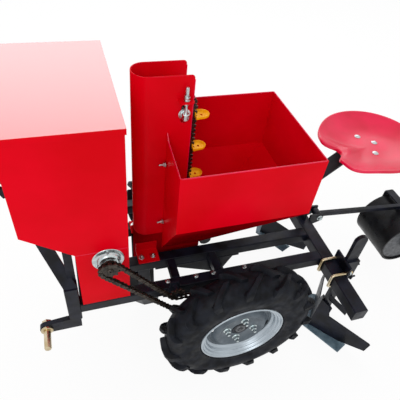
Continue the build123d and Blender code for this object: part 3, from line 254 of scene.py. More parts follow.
COATS = {
    "red_paint": red_enamel,
    "black_paint": black_enamel,
    "tyre_rubber": tyre_rubber,
    "rim_silver": wheel_silver,
    "zinc_steel": bright_zinc,
    "chain_steel": chain_steel,
    "yellow_plastic": cup_nylon,
    "share_paint": share_paint,
    "roller_black": roller_black,
}
SLOTS = {part["node"]: part["material_slot"] for part in frame["record"]["subparts"]}
for node, slot in SLOTS.items():
    mesh = frame["nodes"][node].data
    mesh.materials.clear()
    mesh.materials.append(COATS[slot])


# Shaping tools
def piece(name, bm, body, slot, finish, *nodes, crease=35, flat=False):
    # A finished mesh that rides on a body and may stand for CAD nodes; flat faces may lead its shading.
    bmesh.ops.recalc_face_normals(bm, faces=bm.faces)
    mesh = bpy.data.meshes.new(name)
    bm.to_mesh(mesh)
    bm.free()
    mesh.materials.append(finish)
    mesh.shade_smooth()
    mesh.set_sharp_from_angle(angle=math.radians(crease))
    thing = bpy.data.objects.new(name, mesh)
    bpy.context.scene.collection.objects.link(thing)
    if flat:
        weigh = thing.modifiers.new("flat faces lead", "WEIGHTED_NORMAL")
        weigh.weight = 100
        weigh.keep_sharp = True
    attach(thing, body)
    if nodes:
        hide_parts(*nodes)
    return thing


def rounded(points, times=2):
    # An open line with its corners cut off again and again until it runs smoothly.
    for _ in range(times):
        cut = [points[0]]
        for a, b in zip(points, points[1:]):
            cut.append(tuple(0.75 * p + 0.25 * q for p, q in zip(a, b)))
            cut.append(tuple(0.25 * p + 0.75 * q for p, q in zip(a, b)))
        points = cut + [points[-1]]
    return points


def skin_over(bm, rings, closed=False, skip=None):
    # Faces between rings of as many points each, joined up last to first or capped at both ends.
    made = [[bm.verts.new(p) for p in ring] for ring in rings]
    pairs = list(zip(made, made[1:]))
    if closed:
        pairs.append((made[-1], made[0]))
    for i, (a, b) in enumerate(pairs):
        for k in range(len(a)):
            if skip and skip(i, k):
                continue
            n = (k + 1) % len(a)
            bm.faces.new((a[k], a[n], b[n], b[k]))
    if not closed:
        bm.faces.new(made[0])
        bm.faces.new(made[-1])


def turned(bm, origin, axis, rows, steps, closed=False, skip=None):
    # A form about an axis: rows of (along, radius), or (along, radius, True) where it has six sides.
    axis = Vector(axis).normalized()
    across = Vector((0, 1, 0)) if abs(axis.x) > 0.7 else Vector((1, 0, 0))
    across = (across - axis * across.dot(axis)).normalized()
    upward = axis.cross(across)
    if upward.z + upward.y < 0:
        upward = -upward
    rings = []
    for along, radius, *six in rows:
        ring = []
        for k in range(steps):
            angle = 2 * math.pi * k / steps
            r = radius * MM
            if six:
                r *= math.cos(math.pi / 6) / math.cos((angle + math.pi / 6) % (math.pi / 3) - math.pi / 6)
            around = across * math.cos(angle) + upward * math.sin(angle)
            ring.append(origin + axis * along * MM + around * r)
        rings.append(ring)
    skin_over(bm, rings, closed, skip)


def rod(bm, points, radius, steps):
    # A round bar along a line of points.
    rings = []
    side = None
    for i, p in enumerate(points):
        way = (points[min(i + 1, len(points) - 1)] - points[max(i - 1, 0)]).normalized()
        if side is None:
            side = way.orthogonal().normalized()
        side = (side - way * side.dot(way)).normalized()
        other = way.cross(side)
        rings.append([p + (side * math.cos(a) + other * math.sin(a)) * radius * MM
                      for a in (2 * math.pi * k / steps for k in range(steps))])
    skin_over(bm, rings)


def nut(bm, origin, axis, across, stud=0.0):
    # A washer, a nut so wide across its flats and the end of its stud.
    r = across / 2
    turned(bm, origin, axis, [(0, r * 1.4), (1.4, r * 1.4), (1.6, r * 1.35), (1.6, r * 0.6)], 24)
    height = across * 0.45
    turned(bm, origin, axis, [(1.6, r, True), (1.6 + height, r, True)], 24)
    if stud:
        end = 1.6 + height + stud
        turned(bm, origin, axis, [(0, r * 0.5), (end - 1, r * 0.5), (end, r * 0.38)], 14)


def round_over(bm, width_mm):
    # Every edge that turns by more than 30 degrees is rounded over.
    bmesh.ops.recalc_face_normals(bm, faces=bm.faces)
    sharp = [e for e in bm.edges if len(e.link_faces) == 2 and e.calc_face_angle() > math.radians(30)]
    bmesh.ops.bevel(bm, geom=sharp, offset=width_mm * MM, offset_type="OFFSET", segments=2, profile=0.5,
                    affect="EDGES", clamp_overlap=True)
    return bm


def eased(node, width_mm):
    # A CAD node's mesh with its flat faces made whole and its sharp edges rounded over.
    bm = bmesh.new()
    bm.from_mesh(frame["nodes"][node].data)
    bmesh.ops.remove_doubles(bm, verts=bm.verts, dist=1e-6)
    bmesh.ops.dissolve_limit(bm, angle_limit=math.radians(0.4), verts=bm.verts, edges=bm.edges)
    return round_over(bm, width_mm)


def folded_sheet(bm, outer, inner, faces):
    # Sheet metal from its two skins: the same faces on each, closed along every free edge.
    skins = [[bm.verts.new(spot(*p)) for p in skin] for skin in (outer, inner)]
    edges = {}
    for face in faces:
        for skin in skins:
            bm.faces.new([skin[i] for i in face])
        for a, b in zip(face, face[1:] + face[:1]):
            edges.setdefault(frozenset((a, b)), []).append((a, b))
    for used in edges.values():
        if len(used) == 1:
            a, b = used[0]
            bm.faces.new((skins[0][a], skins[0][b], skins[1][b], skins[1][a]))


def plate(bm, outline, thickness):
    # A flat plate: its outline on one face, and the way across to the other.
    skin_over(bm, [[spot(*p) for p in outline], [spot(*p) + Vector(thickness) * MM for p in outline]])


def flat_bar(bm, line, half_width, half_thick):
    # A flat bar bent along a line of (x, z), with its width across the machine.
    rings = []
    for i, (x, z) in enumerate(line):
        (x0, z0), (x1, z1) = line[max(i - 1, 0)], line[min(i + 1, len(line) - 1)]
        span = math.hypot(x1 - x0, z1 - z0)
        nx, nz = (z0 - z1) / span * half_thick, (x1 - x0) / span * half_thick
        rings.append([spot(x + nx * a, y, z + nz * a) for a, y in
                      ((1, half_width), (1, -half_width), (-1, -half_width), (-1, half_width))])
    skin_over(bm, rings)


BODY_OF = {node: body for body, nodes in frame["record"]["behaviour"]["bodies"].items() for node in nodes}

# Sheet, bar and plate from the CAD, each with its edges rounded over by so many millimetres
EDGE_MM = {
    "fertiliser_hopper": 1.3, "fertiliser_lid": 1.2, "lid_hinges": 0.6, "elevator_tower": 1.3,
    "seed_boot": 1.2, "tower_feet": 1.2, "cross_bars": 2.0, "axle_hangers": 1.2, "hitch_legs": 2.0,
    "hitch_mast": 1.6, "roller_bracket": 1.4, "ridger_shank_left": 2.0, "ridger_shank_right": 2.0,
    "ridger_wings_left": 1.4, "ridger_wings_right": 1.4, "ridger_shares": 1.2, "idler_bracket": 1.2,
    "rear_toolbar": 2.2, "outer_rails": 2.0, "inner_rails": 2.0, "front_crossbar": 2.0,
}
for node, width in EDGE_MM.items():
    skin = piece(node + "_skin", eased(node, width), BODY_OF[node], SLOTS[node], COATS[SLOTS[node]], node,
                 crease=42, flat=True)
    if node == "fertiliser_lid":
        skin.data.materials.append(flowed_enamel)
        for face in skin.data.polygons:
            face.material_index = int(face.normal.z > 0.5)     # its upper face
    # The seed boot, low under the hopper, takes the darker red whole as painted shade
    if node == "seed_boot":
        skin.data.materials[0] = shaded_red_enamel

# Seed hopper: folded sheet over a hipped bottom that runs down to the boot, with a notch for the far shaft
SEED_REAR, SEED_FRONT, SEED_WIDE, SEED_NECK = -237, 209, 197, 45
SEED_TOP, SEED_WALL, SEED_SUMP, SEED_CLIMB = 857, 640, 402, 42
SUMP_REAR, SEED_SHEET = 68, 3
NOTCH_REAR, NOTCH_FRONT, NOTCH_TOP = 145, 181, 478
SEED_FACES = [      # corners 0 to 8 are on the left, 9 to 17 on the right, 18 to 21 round the notch
    [0, 1, 2, 3], [3, 2, 4, 5], [2, 1, 6, 7, 8, 4],
    [9, 10, 11, 12], [12, 11, 13, 18, 19, 20, 21, 14], [11, 10, 15, 16, 17, 13],
    [0, 3, 12, 9], [3, 5, 14, 12]]
skins = []
for deep in (0, SEED_SHEET):
    rear, front, wide, neck = SEED_REAR + deep, SEED_FRONT - deep, SEED_WIDE - deep, SEED_NECK - deep
    skin = []
    for side in SIDES.values():
        skin += [(rear, side * wide, SEED_TOP), (front, side * wide, SEED_TOP),
                 (front, side * wide, SEED_WALL), (rear, side * wide, SEED_WALL),
                 (front, side * neck, SEED_SUMP), (SUMP_REAR + deep, side * neck, SEED_SUMP),
                 (front, side * (TOWER_HALF + 20), SEED_TOP + SEED_CLIMB / 2),
                 (front, side * (TOWER_HALF + 0.2), SEED_TOP + SEED_CLIMB),
                 (front, side * (TOWER_HALF + 0.2), SEED_SUMP)]
    slope = (wide - neck) / (SEED_WALL - SEED_SUMP)
    for x, z in ((NOTCH_FRONT, SEED_SUMP), (NOTCH_FRONT, NOTCH_TOP), (NOTCH_REAR, NOTCH_TOP),
                 (NOTCH_REAR, SEED_SUMP)):
        skin.append((x, -neck - (z - SEED_SUMP) * slope, z))
    skins.append(skin)
bm = bmesh.new()
folded_sheet(bm, *skins, SEED_FACES)
hopper = piece("seed_hopper_sheet", round_over(bm, 1.2), "frame", "red_paint", red_enamel, "seed_hopper",
               crease=42, flat=True)
# Its underside takes the darker red as painted shade
hopper.data.materials.append(shaded_red_enamel)
for face in hopper.data.polygons:
    face.material_index = int(face.normal.z < -0.3)     # its underside

# Seat arm: a flat bar bent over below the seat
bm = bmesh.new()
flat_bar(bm, rounded([(-377, FRAME_TOP), (-377, 591), (-377, 615), (-395, 631), (-469, 697), (-487, 713),
                      (-511, 713), (-617, 713)], 3), 30, 5)
piece("seat_arm_bar", round_over(bm, 1.8), "frame", "black_paint", black_enamel, "seat_arm",
      crease=42, flat=True)

# Roller arm: a slim square bar from the pivot eye down to a yoke bent from flat bar
YOKE_TOP, YOKE_IN, YOKE_OUT, YOKE_BEND = 344, 107, 114, 300
YOKE_HALF, ROLLER_BORE = 25, 10.7
bm = bmesh.new()
flat_bar(bm, [(-452, 394), (-700, 370), (-890, 351.5)], 9, 9)
turned(bm, spot(ARM_PIVOT[0], 0, ARM_PIVOT[1]), (0, 1, 0), [(-15, 8.7), (-15, 15.5), (15, 15.5), (15, 8.7)],
       32, closed=True)
over = [(-YOKE_OUT, YOKE_BEND), (-YOKE_OUT, YOKE_TOP - 6), (-111, YOKE_TOP + 3), (-104, YOKE_TOP + 7)]
under = [(YOKE_IN, YOKE_BEND), (YOKE_IN, YOKE_TOP - 4), (102, YOKE_TOP)]
bridge = over + [(-y, z) for y, z in reversed(over)] + under + [(-y, z) for y, z in reversed(under)]
plate(bm, [(ROLLER[0] - 18, y, z) for y, z in bridge], (36, 0, 0))
for side in SIDES.values():
    cheek, hole = [], []
    for k in range(32):
        angle = 2 * math.pi * k / 32
        c, d = math.cos(angle), math.sin(angle)
        reach = YOKE_HALF
        if d > 0.001:
            reach = min(YOKE_HALF / max(abs(c), 0.01), (YOKE_BEND + 2 - ROLLER[1]) / d)
        cheek.append((ROLLER[0] + reach * c, ROLLER[1] + reach * d))
        hole.append((ROLLER[0] + ROLLER_BORE * c, ROLLER[1] + ROLLER_BORE * d))
    rings = [[spot(x, side * y, z) for x, z in line] for line, y in
             ((cheek, YOKE_IN), (cheek, YOKE_OUT), (hole, YOKE_OUT), (hole, YOKE_IN))]
    skin_over(bm, rings, closed=True)
piece("roller_arm_bar", round_over(bm, 1.4), "press_arm", "black_paint", black_enamel, "roller_arm",
      crease=42, flat=True)

# Furrow opener: a shoe whose nose sweeps back to a narrow foot, hung on two cheek plates
OPENER = (      # height, then the nose, the shoulder and the rear, and half the width
    (34, 318, 268, 212, 36),
    (170, 396, 306, 212, 62))
OPENER_SHEET = 6
CHEEK = ((246, 150), (296, 150), (300, 398), (262, 398))
skins = []
for deep in (0, OPENER_SHEET):
    skin = []
    for z, nose, shoulder, rear, half in OPENER:
        skin += [(rear, half - deep, z), (shoulder - deep * 0.6, half - deep, z), (nose - deep * 2, 0, z),
                 (shoulder - deep * 0.6, deep - half, z), (rear, deep - half, z)]
    skins.append(skin)
bm = bmesh.new()
folded_sheet(bm, *skins, [[i, i + 1, i + 6, i + 5] for i in range(4)])
for side in SIDES.values():
    plate(bm, [(x, side * 62, z) for x, z in CHEEK], (0, side * OPENER_SHEET, 0))
piece("opener_shoe", round_over(bm, 1.4), "frame", "black_paint", black_enamel, "furrow_opener",
      crease=42, flat=True)

# Tyres: a round-shouldered casing with two rows of block lugs that run from the crown down the shoulder
CASING = [      # across from the tyre's middle plane, and out from the axle
    (30, 141), (36, 142), (40, 149), (44, 151), (46, 151), (47.5, 156), (46.5, 160), (49.5, 172),
    (53, 190), (54, 206), (51, 224), (45, 240), (34, 252), (18, 258.5), (0, 260)]
LUGS = 15
LUG_TOP = [     # across, out, its outward direction (across, out), half width, degrees behind the crown
    (-5, 276.6, 0, 1, 9, -1.0), (6, 276.8, 0, 1, 10, 1.2), (22, 276, 0.08, 1, 10.5, 4.3),
    (36, 272.5, 0.3, 0.95, 11.5, 7.2), (47, 265, 0.7, 0.7, 13, 9.4), (53.5, 253, 0.95, 0.3, 14, 10.6),
    (54.8, 240, 1, 0.05, 13.5, 11.0), (54.6, 226, 1, 0, 12, 11.2)]
LUG_SECTION = (     # beyond the half width, and down from the top
    (-4.5, 24), (-0.5, 3.2), (2.2, 0), (-2.2, 0), (0.5, 3.2), (4.5, 24))


def lug(bm, side, row, lead):
    # One block: sections along its length, each with a bevelled top and flared foot.
    rings = []
    for across, out, lean_across, lean_out, half, behind in LUG_TOP:
        ring = []
        for i, (flare, deep) in enumerate(LUG_SECTION):
            edge = -half if i < 3 else half
            angle = lead - math.radians(behind) + (edge + flare) / out
            y = across - lean_across * deep
            r = out - lean_out * deep
            ring.append(spot(r * math.cos(angle), side * (HALF_TRACK + row * y),
                             WHEEL_Z + r * math.sin(angle)))
        rings.append(ring)
    skin_over(bm, rings)


# Rim outline, from the outer lip in to the disc and back behind it
RIM_FRONT = [       # inward from the lip's face, and out from the axle
    (6, 148), (1.5, 148), (0, 146.5), (0, 142.5), (2.5, 140.6), (6, 140), (7, 138.4), (7, 134.6),
    (9.5, 132.9), (15, 132), (16, 130.4), (16, 126.8), (18.5, 125.2), (25, 124), (27, 122.4), (28, 119.6),
    (33, 117.4), (36, 114), (37, 109), (36, 103), (31, 99), (24, 94), (18, 88), (16.5, 83), (17.5, 78),
    (22, 72), (24.8, 64), (25, 36), (26, 31)]
RIM_BACK = [
    (30, 31), (30, 76), (34, 84), (35, 104), (37.5, 113), (42, 116), (76, 116), (84, 128), (90, 130),
    (92, 134), (92, 148), (88, 148), (87, 137), (82, 133), (74, 120), (38, 120.5), (28, 124), (26, 131),
    (18, 134), (14, 140), (6, 143)]
RIM_HALF = 46
DISC_REACH = 118            # from the wheel's middle to the end of the painted shade on the disc
HUB_PLACE = RIM_HALF - 26   # the hub's seat on the disc, outward from the wheel's middle plane
STUD_ANGLE = 10
STUD_CIRCLE = 50
STUDS = 4


def window(i, k):
    # Two narrow windows between the disc and the rim, opposite each other, through the front and the back.
    here = (k * 3 - STUD_ANGLE - 2) % 180
    back = len(RIM_FRONT)
    return (17 <= i <= 19 or back + 2 <= i <= back + 3) and not 9 < here < 171


for word, side in SIDES.items():
    wheel = f"wheel_{word}"
    middle = spot(0, side * HALF_TRACK, WHEEL_Z)
    outward = (0, side, 0)
    bm = bmesh.new()
    half = rounded(CASING)
    turned(bm, middle, outward, half + [(-y, r) for y, r in reversed(half[:-1])], 120, closed=True)
    for i in range(LUGS):
        for row, shift in ((1, 0), (-1, 0.5)):
            lug(bm, side, row, 2 * math.pi * (i + shift) / LUGS)
    piece(f"tyre_casing_{word}", bm, wheel, "tyre_rubber", tyre_rubber, f"tyre_{word}", crease=32)

    bm = bmesh.new()
    turned(bm, middle, outward, [(RIM_HALF - d, r) for d, r in RIM_FRONT + RIM_BACK], 120, closed=True,
           skip=window)
    pressing = piece(f"rim_pressing_{word}", bm, wheel, "rim_silver", wheel_silver, f"rim_{word}", crease=50)
    # The disc's faces take the darker silver as painted shade
    pressing.data.materials.append(shaded_silver)
    for face in pressing.data.polygons:
        face.material_index = int((face.center - middle).length < DISC_REACH * MM)

    bm = bmesh.new()
    turned(bm, middle, outward,
           [(HUB_PLACE - 6, 19.5), (HUB_PLACE + 1, 19.5), (HUB_PLACE + 3, 18), (HUB_PLACE + 3, 11),
            (HUB_PLACE, 10), (HUB_PLACE, 6), (HUB_PLACE + 4, 5.5), (HUB_PLACE + 4.5, 0.5)], 48)
    piece(f"hub_boss_{word}", bm, wheel, "rim_silver", disc_grey)
    bm = bmesh.new()
    turned(bm, middle, outward,
           [(HUB_PLACE - 6, 30.5), (HUB_PLACE - 1, 30.5), (HUB_PLACE + 1.6, 28), (HUB_PLACE + 1.6, 21),
            (HUB_PLACE - 6, 20)], 48)
    piece(f"hub_ring_{word}", bm, wheel, "black_paint", black_enamel)

    # The axle with its inner collar, its thicker outer part and the flange behind the disc
    bm = bmesh.new()
    turned(bm, spot(0, 0, WHEEL_Z), outward,
           [(56, 15), (56, 24), (65.5, 24), (65.5, 15), (231, 15), (231, 26),
            (338, 26), (338, 66), (347.6, 66), (347.6, 20)], 48)
    piece(f"axle_shaft_{word}", bm, wheel, "black_paint", black_enamel, f"axle_{word}")
    bm = bmesh.new()
    for i in range(STUDS):
        angle = math.radians(STUD_ANGLE + 360 / STUDS * i)
        foot = spot(STUD_CIRCLE * math.cos(angle), side * (HALF_TRACK + HUB_PLACE + 0.6),
                    WHEEL_Z + STUD_CIRCLE * math.sin(angle))
        nut(bm, foot, outward, 20, 11)
    piece(f"wheel_nuts_{word}", bm, wheel, "zinc_steel", bright_zinc)


# Chain drives
PITCH = 15.875
DRIVING_TEETH, FEED_TEETH, IDLER_TEETH = 50, 11, 9      # left: on the wheel, the shaft and the arm
LIFTING_TEETH, LIFT_TEETH, CUP_TEETH = 30, 15, 14       # right: on the wheel and the shaft; in the tower
LINK_END, LINK_WAIST = 6.8, 4.8
TOOTH_WIDTH = 7


def pitch_radius(teeth):
    return PITCH / (2 * math.sin(math.pi / teeth))


def toothed_wheel(bm, x, y, z, teeth, bore):
    # A sprocket: rounded teeth, thinned at their tips, on a disc with a bore.
    root = pitch_radius(teeth) - 5.1
    tooth = ((-0.5, 0), (-0.32, 0.6), (-0.2, 4.6), (-0.1, 7.6), (0, 8.4), (0.1, 7.6), (0.2, 4.6), (0.32, 0.6))
    rings = []
    for deep, keep in ((-0.5, None), (-0.5, 0.7), (-0.28, 1), (0.28, 1), (0.5, 0.7), (0.5, None)):
        ring = []
        for k in range(teeth):
            for turn, high in tooth:
                angle = 2 * math.pi * (k + turn) / teeth
                r = bore if keep is None else root + high * keep
                ring.append(spot(x + r * math.cos(angle), y + deep * TOOTH_WIDTH, z + r * math.sin(angle)))
        rings.append(ring)
    skin_over(bm, rings, closed=True)


def loop_pieces(wheels):
    # A loop round wheels of (x, z, radius), as straight runs and arcs; a negative radius is passed outside.
    runs = []
    for (x0, z0, r0), (x1, z1, r1) in zip(wheels, wheels[1:] + wheels[:1]):
        span = math.hypot(x1 - x0, z1 - z0)
        ux, uz = (x1 - x0) / span, (z1 - z0) / span
        along = (r0 - r1) / span
        across = math.sqrt(1 - along * along)
        nx, nz = along * ux + across * uz, along * uz - across * ux
        runs.append(((x0 + r0 * nx, z0 + r0 * nz), (x1 + r1 * nx, z1 + r1 * nz)))
    made = []
    for i, (x, z, r) in enumerate(wheels):
        start, end = runs[i - 1][1], runs[i][0]
        first = math.atan2(start[1] - z, start[0] - x)
        swept = (math.atan2(end[1] - z, end[0] - x) - first) % (2 * math.pi)
        if r < 0:
            swept -= 2 * math.pi
        made.append((abs(r * swept), x, z, abs(r), first, swept))
        made.append((math.dist(*runs[i]), *runs[i]))
    return made


def loop_point(made, travelled):
    # The place on the loop after so many millimetres.
    travelled %= sum(m[0] for m in made)
    for m in made:
        if travelled <= m[0]:
            break
        travelled -= m[0]
    part = travelled / m[0]
    if len(m) == 3:
        (x0, z0), (x1, z1) = m[1:]
        return x0 + (x1 - x0) * part, z0 + (z1 - z0) * part
    _, x, z, r, first, swept = m
    return x + r * math.cos(first + swept * part), z + r * math.sin(first + swept * part)


def link_plate(bm, a, b, y, thick):
    # One waisted side plate between two pins.
    way = math.atan2(b[1] - a[1], b[0] - a[0])
    middle_x, middle_z = (a[0] + b[0]) / 2, (a[1] + b[1]) / 2
    outline = []
    for (x, z), end, waist in ((a, way + math.pi, way - math.pi / 2), (b, way, way + math.pi / 2)):
        for turn in (-100, -60, -20, 20, 60, 100):
            angle = end + math.radians(turn)
            outline.append((x + LINK_END * math.cos(angle), z + LINK_END * math.sin(angle)))
        outline.append((middle_x + LINK_WAIST * math.cos(waist), middle_z + LINK_WAIST * math.sin(waist)))
    rings = [[spot(x, y + edge * thick / 2, z) for x, z in outline] for edge in (-1, 1)]
    skin_over(bm, rings)


def roller_chain(name, wheels, y, node, lugs):
    # Links in turn wide and narrow, on pins with rollers between; cups are carried on lugs that stand out.
    made = loop_pieces(wheels)
    length = sum(m[0] for m in made)
    count = 2 * round(length / PITCH / 2)
    pins = [loop_point(made, i * length / count) for i in range(count)]
    bm = bmesh.new()
    for i, pin in enumerate(pins):
        after = pins[(i + 1) % count]
        for edge in (-1, 1):
            link_plate(bm, pin, after, y + edge * (4.5 if i % 2 else 5.9), 1.2)
        turned(bm, spot(pin[0], y - 7.4, pin[1]), (0, 1, 0),
               [(0, 1.8), (0.6, 2.5), (14.2, 2.5), (14.8, 1.8)], 8)
        turned(bm, spot(pin[0], y - 3.8, pin[1]), (0, 1, 0), [(0, 4.9), (7.6, 4.9)], 10)
        if lugs:
            way = Vector((after[0] - pin[0], 0, after[1] - pin[1])).normalized()
            out = Vector((way.z, 0, -way.x))
            middle = ((pin[0] + after[0]) / 2, (pin[1] + after[1]) / 2)
            for edge in (-1, 1):
                foot = spot(middle[0], y + edge * 5.2, middle[1])
                rings = [[foot + (way * along + out * high + Vector((0, edge * wide, 0))) * MM
                          for along, high in ((-5.5, 3), (5.5, 3), (4.2, 15), (-4.2, 15))]
                         for wide in (-0.9, 0.9)]
                skin_over(bm, rings)
    piece(name, bm, BODY_OF[node], "chain_steel", chain_steel, node)


FEED_LOOP = [(*FEED_SHAFT, pitch_radius(FEED_TEETH)), (*IDLER, -pitch_radius(IDLER_TEETH)),
             (0, WHEEL_Z, pitch_radius(DRIVING_TEETH))]
LIFT_LOOP = [(LIFT_X, LIFT_LOW, pitch_radius(LIFT_TEETH)), (0, WHEEL_Z, pitch_radius(LIFTING_TEETH))]
CUP_LOOP = [(LIFT_X, LIFT_HIGH, pitch_radius(CUP_TEETH)), (LIFT_X, LIFT_LOW, pitch_radius(CUP_TEETH))]
roller_chain("feed_chain_links", FEED_LOOP, CHAIN_Y, "feed_chain", False)
roller_chain("lift_chain_links", LIFT_LOOP, -CHAIN_Y, "lift_chain", False)
roller_chain("cup_chain_links", CUP_LOOP, 0, "cup_chain", True)

# Sprockets on the wheels' axles
for name, body, y, teeth in (("feed_wheel_sprocket", "wheel_left", CHAIN_Y, DRIVING_TEETH),
                             ("lift_wheel_sprocket", "wheel_right", -CHAIN_Y, LIFTING_TEETH)):
    bm = bmesh.new()
    toothed_wheel(bm, 0, y, WHEEL_Z, teeth, 24)
    piece(name, bm, body, "chain_steel", chain_steel)

# The fertiliser shaft: its sprocket with hub and set screw, and fingers across it that stir inside the hopper
FINGERS_Y = (-165, -110, -55, 0, 55, 110, 165)
x, z = FEED_SHAFT
bm = bmesh.new()
toothed_wheel(bm, x, CHAIN_Y, z, FEED_TEETH, 9)
turned(bm, spot(x, 234, z), (0, 1, 0), [(0, 15), (1, 16.5), (19, 16.5), (21, 14), (21, 10)], 32)
turned(bm, spot(x, -241, z), (0, 1, 0), [(0, 8), (1, 10), (505, 10), (507, 8), (507, 3), (504, 2)], 24)
turned(bm, spot(x, 243, z + 16), (0, 0, 1), [(-2, 4), (2.5, 4), (3.5, 3)], 12)
for i, y in enumerate(FINGERS_Y):
    angle = math.radians(45 * i)
    for way in (-1, 1):
        arm = Vector((math.cos(angle), 0, math.sin(angle))) * way
        turned(bm, spot(x, y, z), arm, [(6, 3.6), (42.5, 3.6), (43.5, 2.6)], 10)
piece("feed_shaft_and_sprocket", bm, "feed_turner", "chain_steel", chain_steel, "feed_shaft")

# The idler on its boss
bm = bmesh.new()
toothed_wheel(bm, IDLER[0], CHAIN_Y, IDLER[1], IDLER_TEETH, 7.2)
turned(bm, spot(IDLER[0], CHAIN_Y, IDLER[1]), (0, 1, 0), [(-6, 7.2), (-6, 12), (6, 12), (6, 7.2)], 24,
       closed=True)
piece("idler_sprocket", bm, "idler", "chain_steel", chain_steel, "idler_wheel")

# The upper cup wheel on its bush
bm = bmesh.new()
toothed_wheel(bm, LIFT_X, 0, LIFT_HIGH, CUP_TEETH, 8.2)
turned(bm, spot(LIFT_X, 0, LIFT_HIGH), (0, 1, 0),
       [(-15.5, 8.2), (-15.5, 15), (-14, 16), (14, 16), (15.5, 15), (15.5, 8.2)], 32, closed=True)
piece("upper_cup_sprocket", bm, "top_sprocket", "chain_steel", chain_steel, "lift_top_sprocket")

# The lift shaft, with the lower cup wheel inside the boot and the driven sprocket outside the frame
bm = bmesh.new()
toothed_wheel(bm, LIFT_X, 0, LIFT_LOW, CUP_TEETH, 9)
toothed_wheel(bm, LIFT_X, -CHAIN_Y, LIFT_LOW, LIFT_TEETH, 9)
turned(bm, spot(LIFT_X, -266, LIFT_LOW), (0, 1, 0), [(0, 8), (1, 10), (327, 10), (328, 8)], 24)
turned(bm, spot(LIFT_X, -254, LIFT_LOW), (0, 1, 0), [(0, 18), (12, 18), (13, 16), (13, 9)], 32)
piece("lower_lift_shaft", bm, "lift_turner", "chain_steel", chain_steel, "lift_shaft")

# Pressed steel flanged bearings, bolted to the hopper, and small ones on the boot
BEARING = [     # outward from the sheet, and out from the shaft
    (0, 10.3), (0, 45.6), (1.2, 46), (2.6, 45), (3, 43), (2.4, 40.5), (2.4, 36), (4, 33), (8.5, 31),
    (12.5, 29.5), (14.4, 27), (14.4, 22.5), (12, 21), (12, 17), (15.6, 15.8), (15.6, 10.3)]
SMALL_BEARING = [(0, 10.3), (0, 23.6), (1.5, 24), (4, 23.4), (6, 21), (9, 19), (15.6, 17.5), (15.6, 10.3)]
HOPPER_SIDE = 219.2
BOLT_CIRCLE = 38
x, z = FEED_SHAFT
bm = bmesh.new()
for side in SIDES.values():
    turned(bm, spot(x, side * HOPPER_SIDE, z), (0, side, 0), BEARING, 64, closed=True)
    for turn in (90, 210, 330):
        angle = math.radians(turn)
        foot = spot(x + BOLT_CIRCLE * math.cos(angle), side * (HOPPER_SIDE + 2.2),
                    z + BOLT_CIRCLE * math.sin(angle))
        nut(bm, foot, (0, side, 0), 8, 2)
    turned(bm, spot(LIFT_X, side * (TOWER_HALF + 0.2), LIFT_LOW), (0, side, 0), SMALL_BEARING, 48,
           closed=True)
piece("pressed_bearings", bm, "frame", "zinc_steel", bright_zinc, "flange_bearings")

# Cups: a spoon with a straight back, pointed at its two rear corners, with a drain hole
CUPS = 11
FIRST_CUP = 1.13 * PITCH
CUP_EDGE = [(22 + 24 * math.cos(math.radians(a)), 21.5 * math.sin(math.radians(a)))
            for a in range(-90, 91, 10)]
CUP_EDGE += [(12, 22.5), (2, 24.5), (0, 24.5), (0, 14), (0, 5), (0, -5), (0, -14), (0, -24.5), (2, -24.5),
             (12, -22.5)]
DRAIN_X, DRAIN_LONG, DRAIN_WIDE = 23, 4.8, 3.4
SPOON = [       # share of the way from the drain hole to the edge, and height
    (0.0, 1.6), (0.5, 1.8), (0.76, 3.0), (0.88, 5.6), (0.93, 7.4), (0.98, 7.4), (1.0, 6.6), (0.97, 0.8),
    (0.9, 0), (0.5, 0), (0.0, 0)]
CUP_TAB = [(-12, 0), (12, 0), (9, 12), (3, 19), (-3, 19), (-9, 12)]
lift_path = loop_pieces(CUP_LOOP)
lift_length = sum(m[0] for m in lift_path)
rear_foot = lift_path[0][0] + lift_path[1][0]       # the lower end of the rear run


def cup_seat(travelled):
    # A place on the cup chain, and the directions up along it and out from it.
    x, z = loop_point(lift_path, travelled)
    ahead, behind = loop_point(lift_path, travelled - 1), loop_point(lift_path, travelled + 1)
    up = Vector((ahead[0] - behind[0], 0, ahead[1] - behind[1])).normalized()
    return x, z, up, Vector((-up.z, 0, up.x))


drain = [(DRAIN_X + DRAIN_WIDE * math.cos(a), DRAIN_LONG * math.sin(a)) for a in
         (math.atan2(y, x - DRAIN_X) for x, y in CUP_EDGE)]
bm = bmesh.new()
for i in range(CUPS):
    x, z, up, out = cup_seat(rear_foot - FIRST_CUP - i * lift_length / CUPS)
    root = spot(x, 0, z) + out * 7.2 * MM

    def on_cup(o, y, u):
        # A place so far out, across and up from the cup's root.
        return root + (out * o + Vector((0, y, 0)) + up * u) * MM

    rings = [[on_cup(a * (1 - t) + b * t, c * (1 - t) + d * t, u) for (a, c), (b, d) in zip(drain, CUP_EDGE)]
             for t, u in SPOON]
    skin_over(bm, rings, closed=True)
    skin_over(bm, [[on_cup(o, y, u) for y, u in CUP_TAB] for o in (0.2, 3.2)])
piece("spoon_cups", bm, "frame", "yellow_plastic", cup_nylon, "seed_cups", crease=40)
bm = bmesh.new()
for i in range(CUPS):
    x, z, up, out = cup_seat(rear_foot - FIRST_CUP - 8 - i * lift_length / CUPS)
    for y in (-4.5, 4.5):
        turned(bm, spot(x, y, z) + out * 10.2 * MM, out, [(0, 3.4), (1.2, 3.2), (2, 2)], 12)
piece("cup_rivets", bm, "frame", "chain_steel", chain_steel)

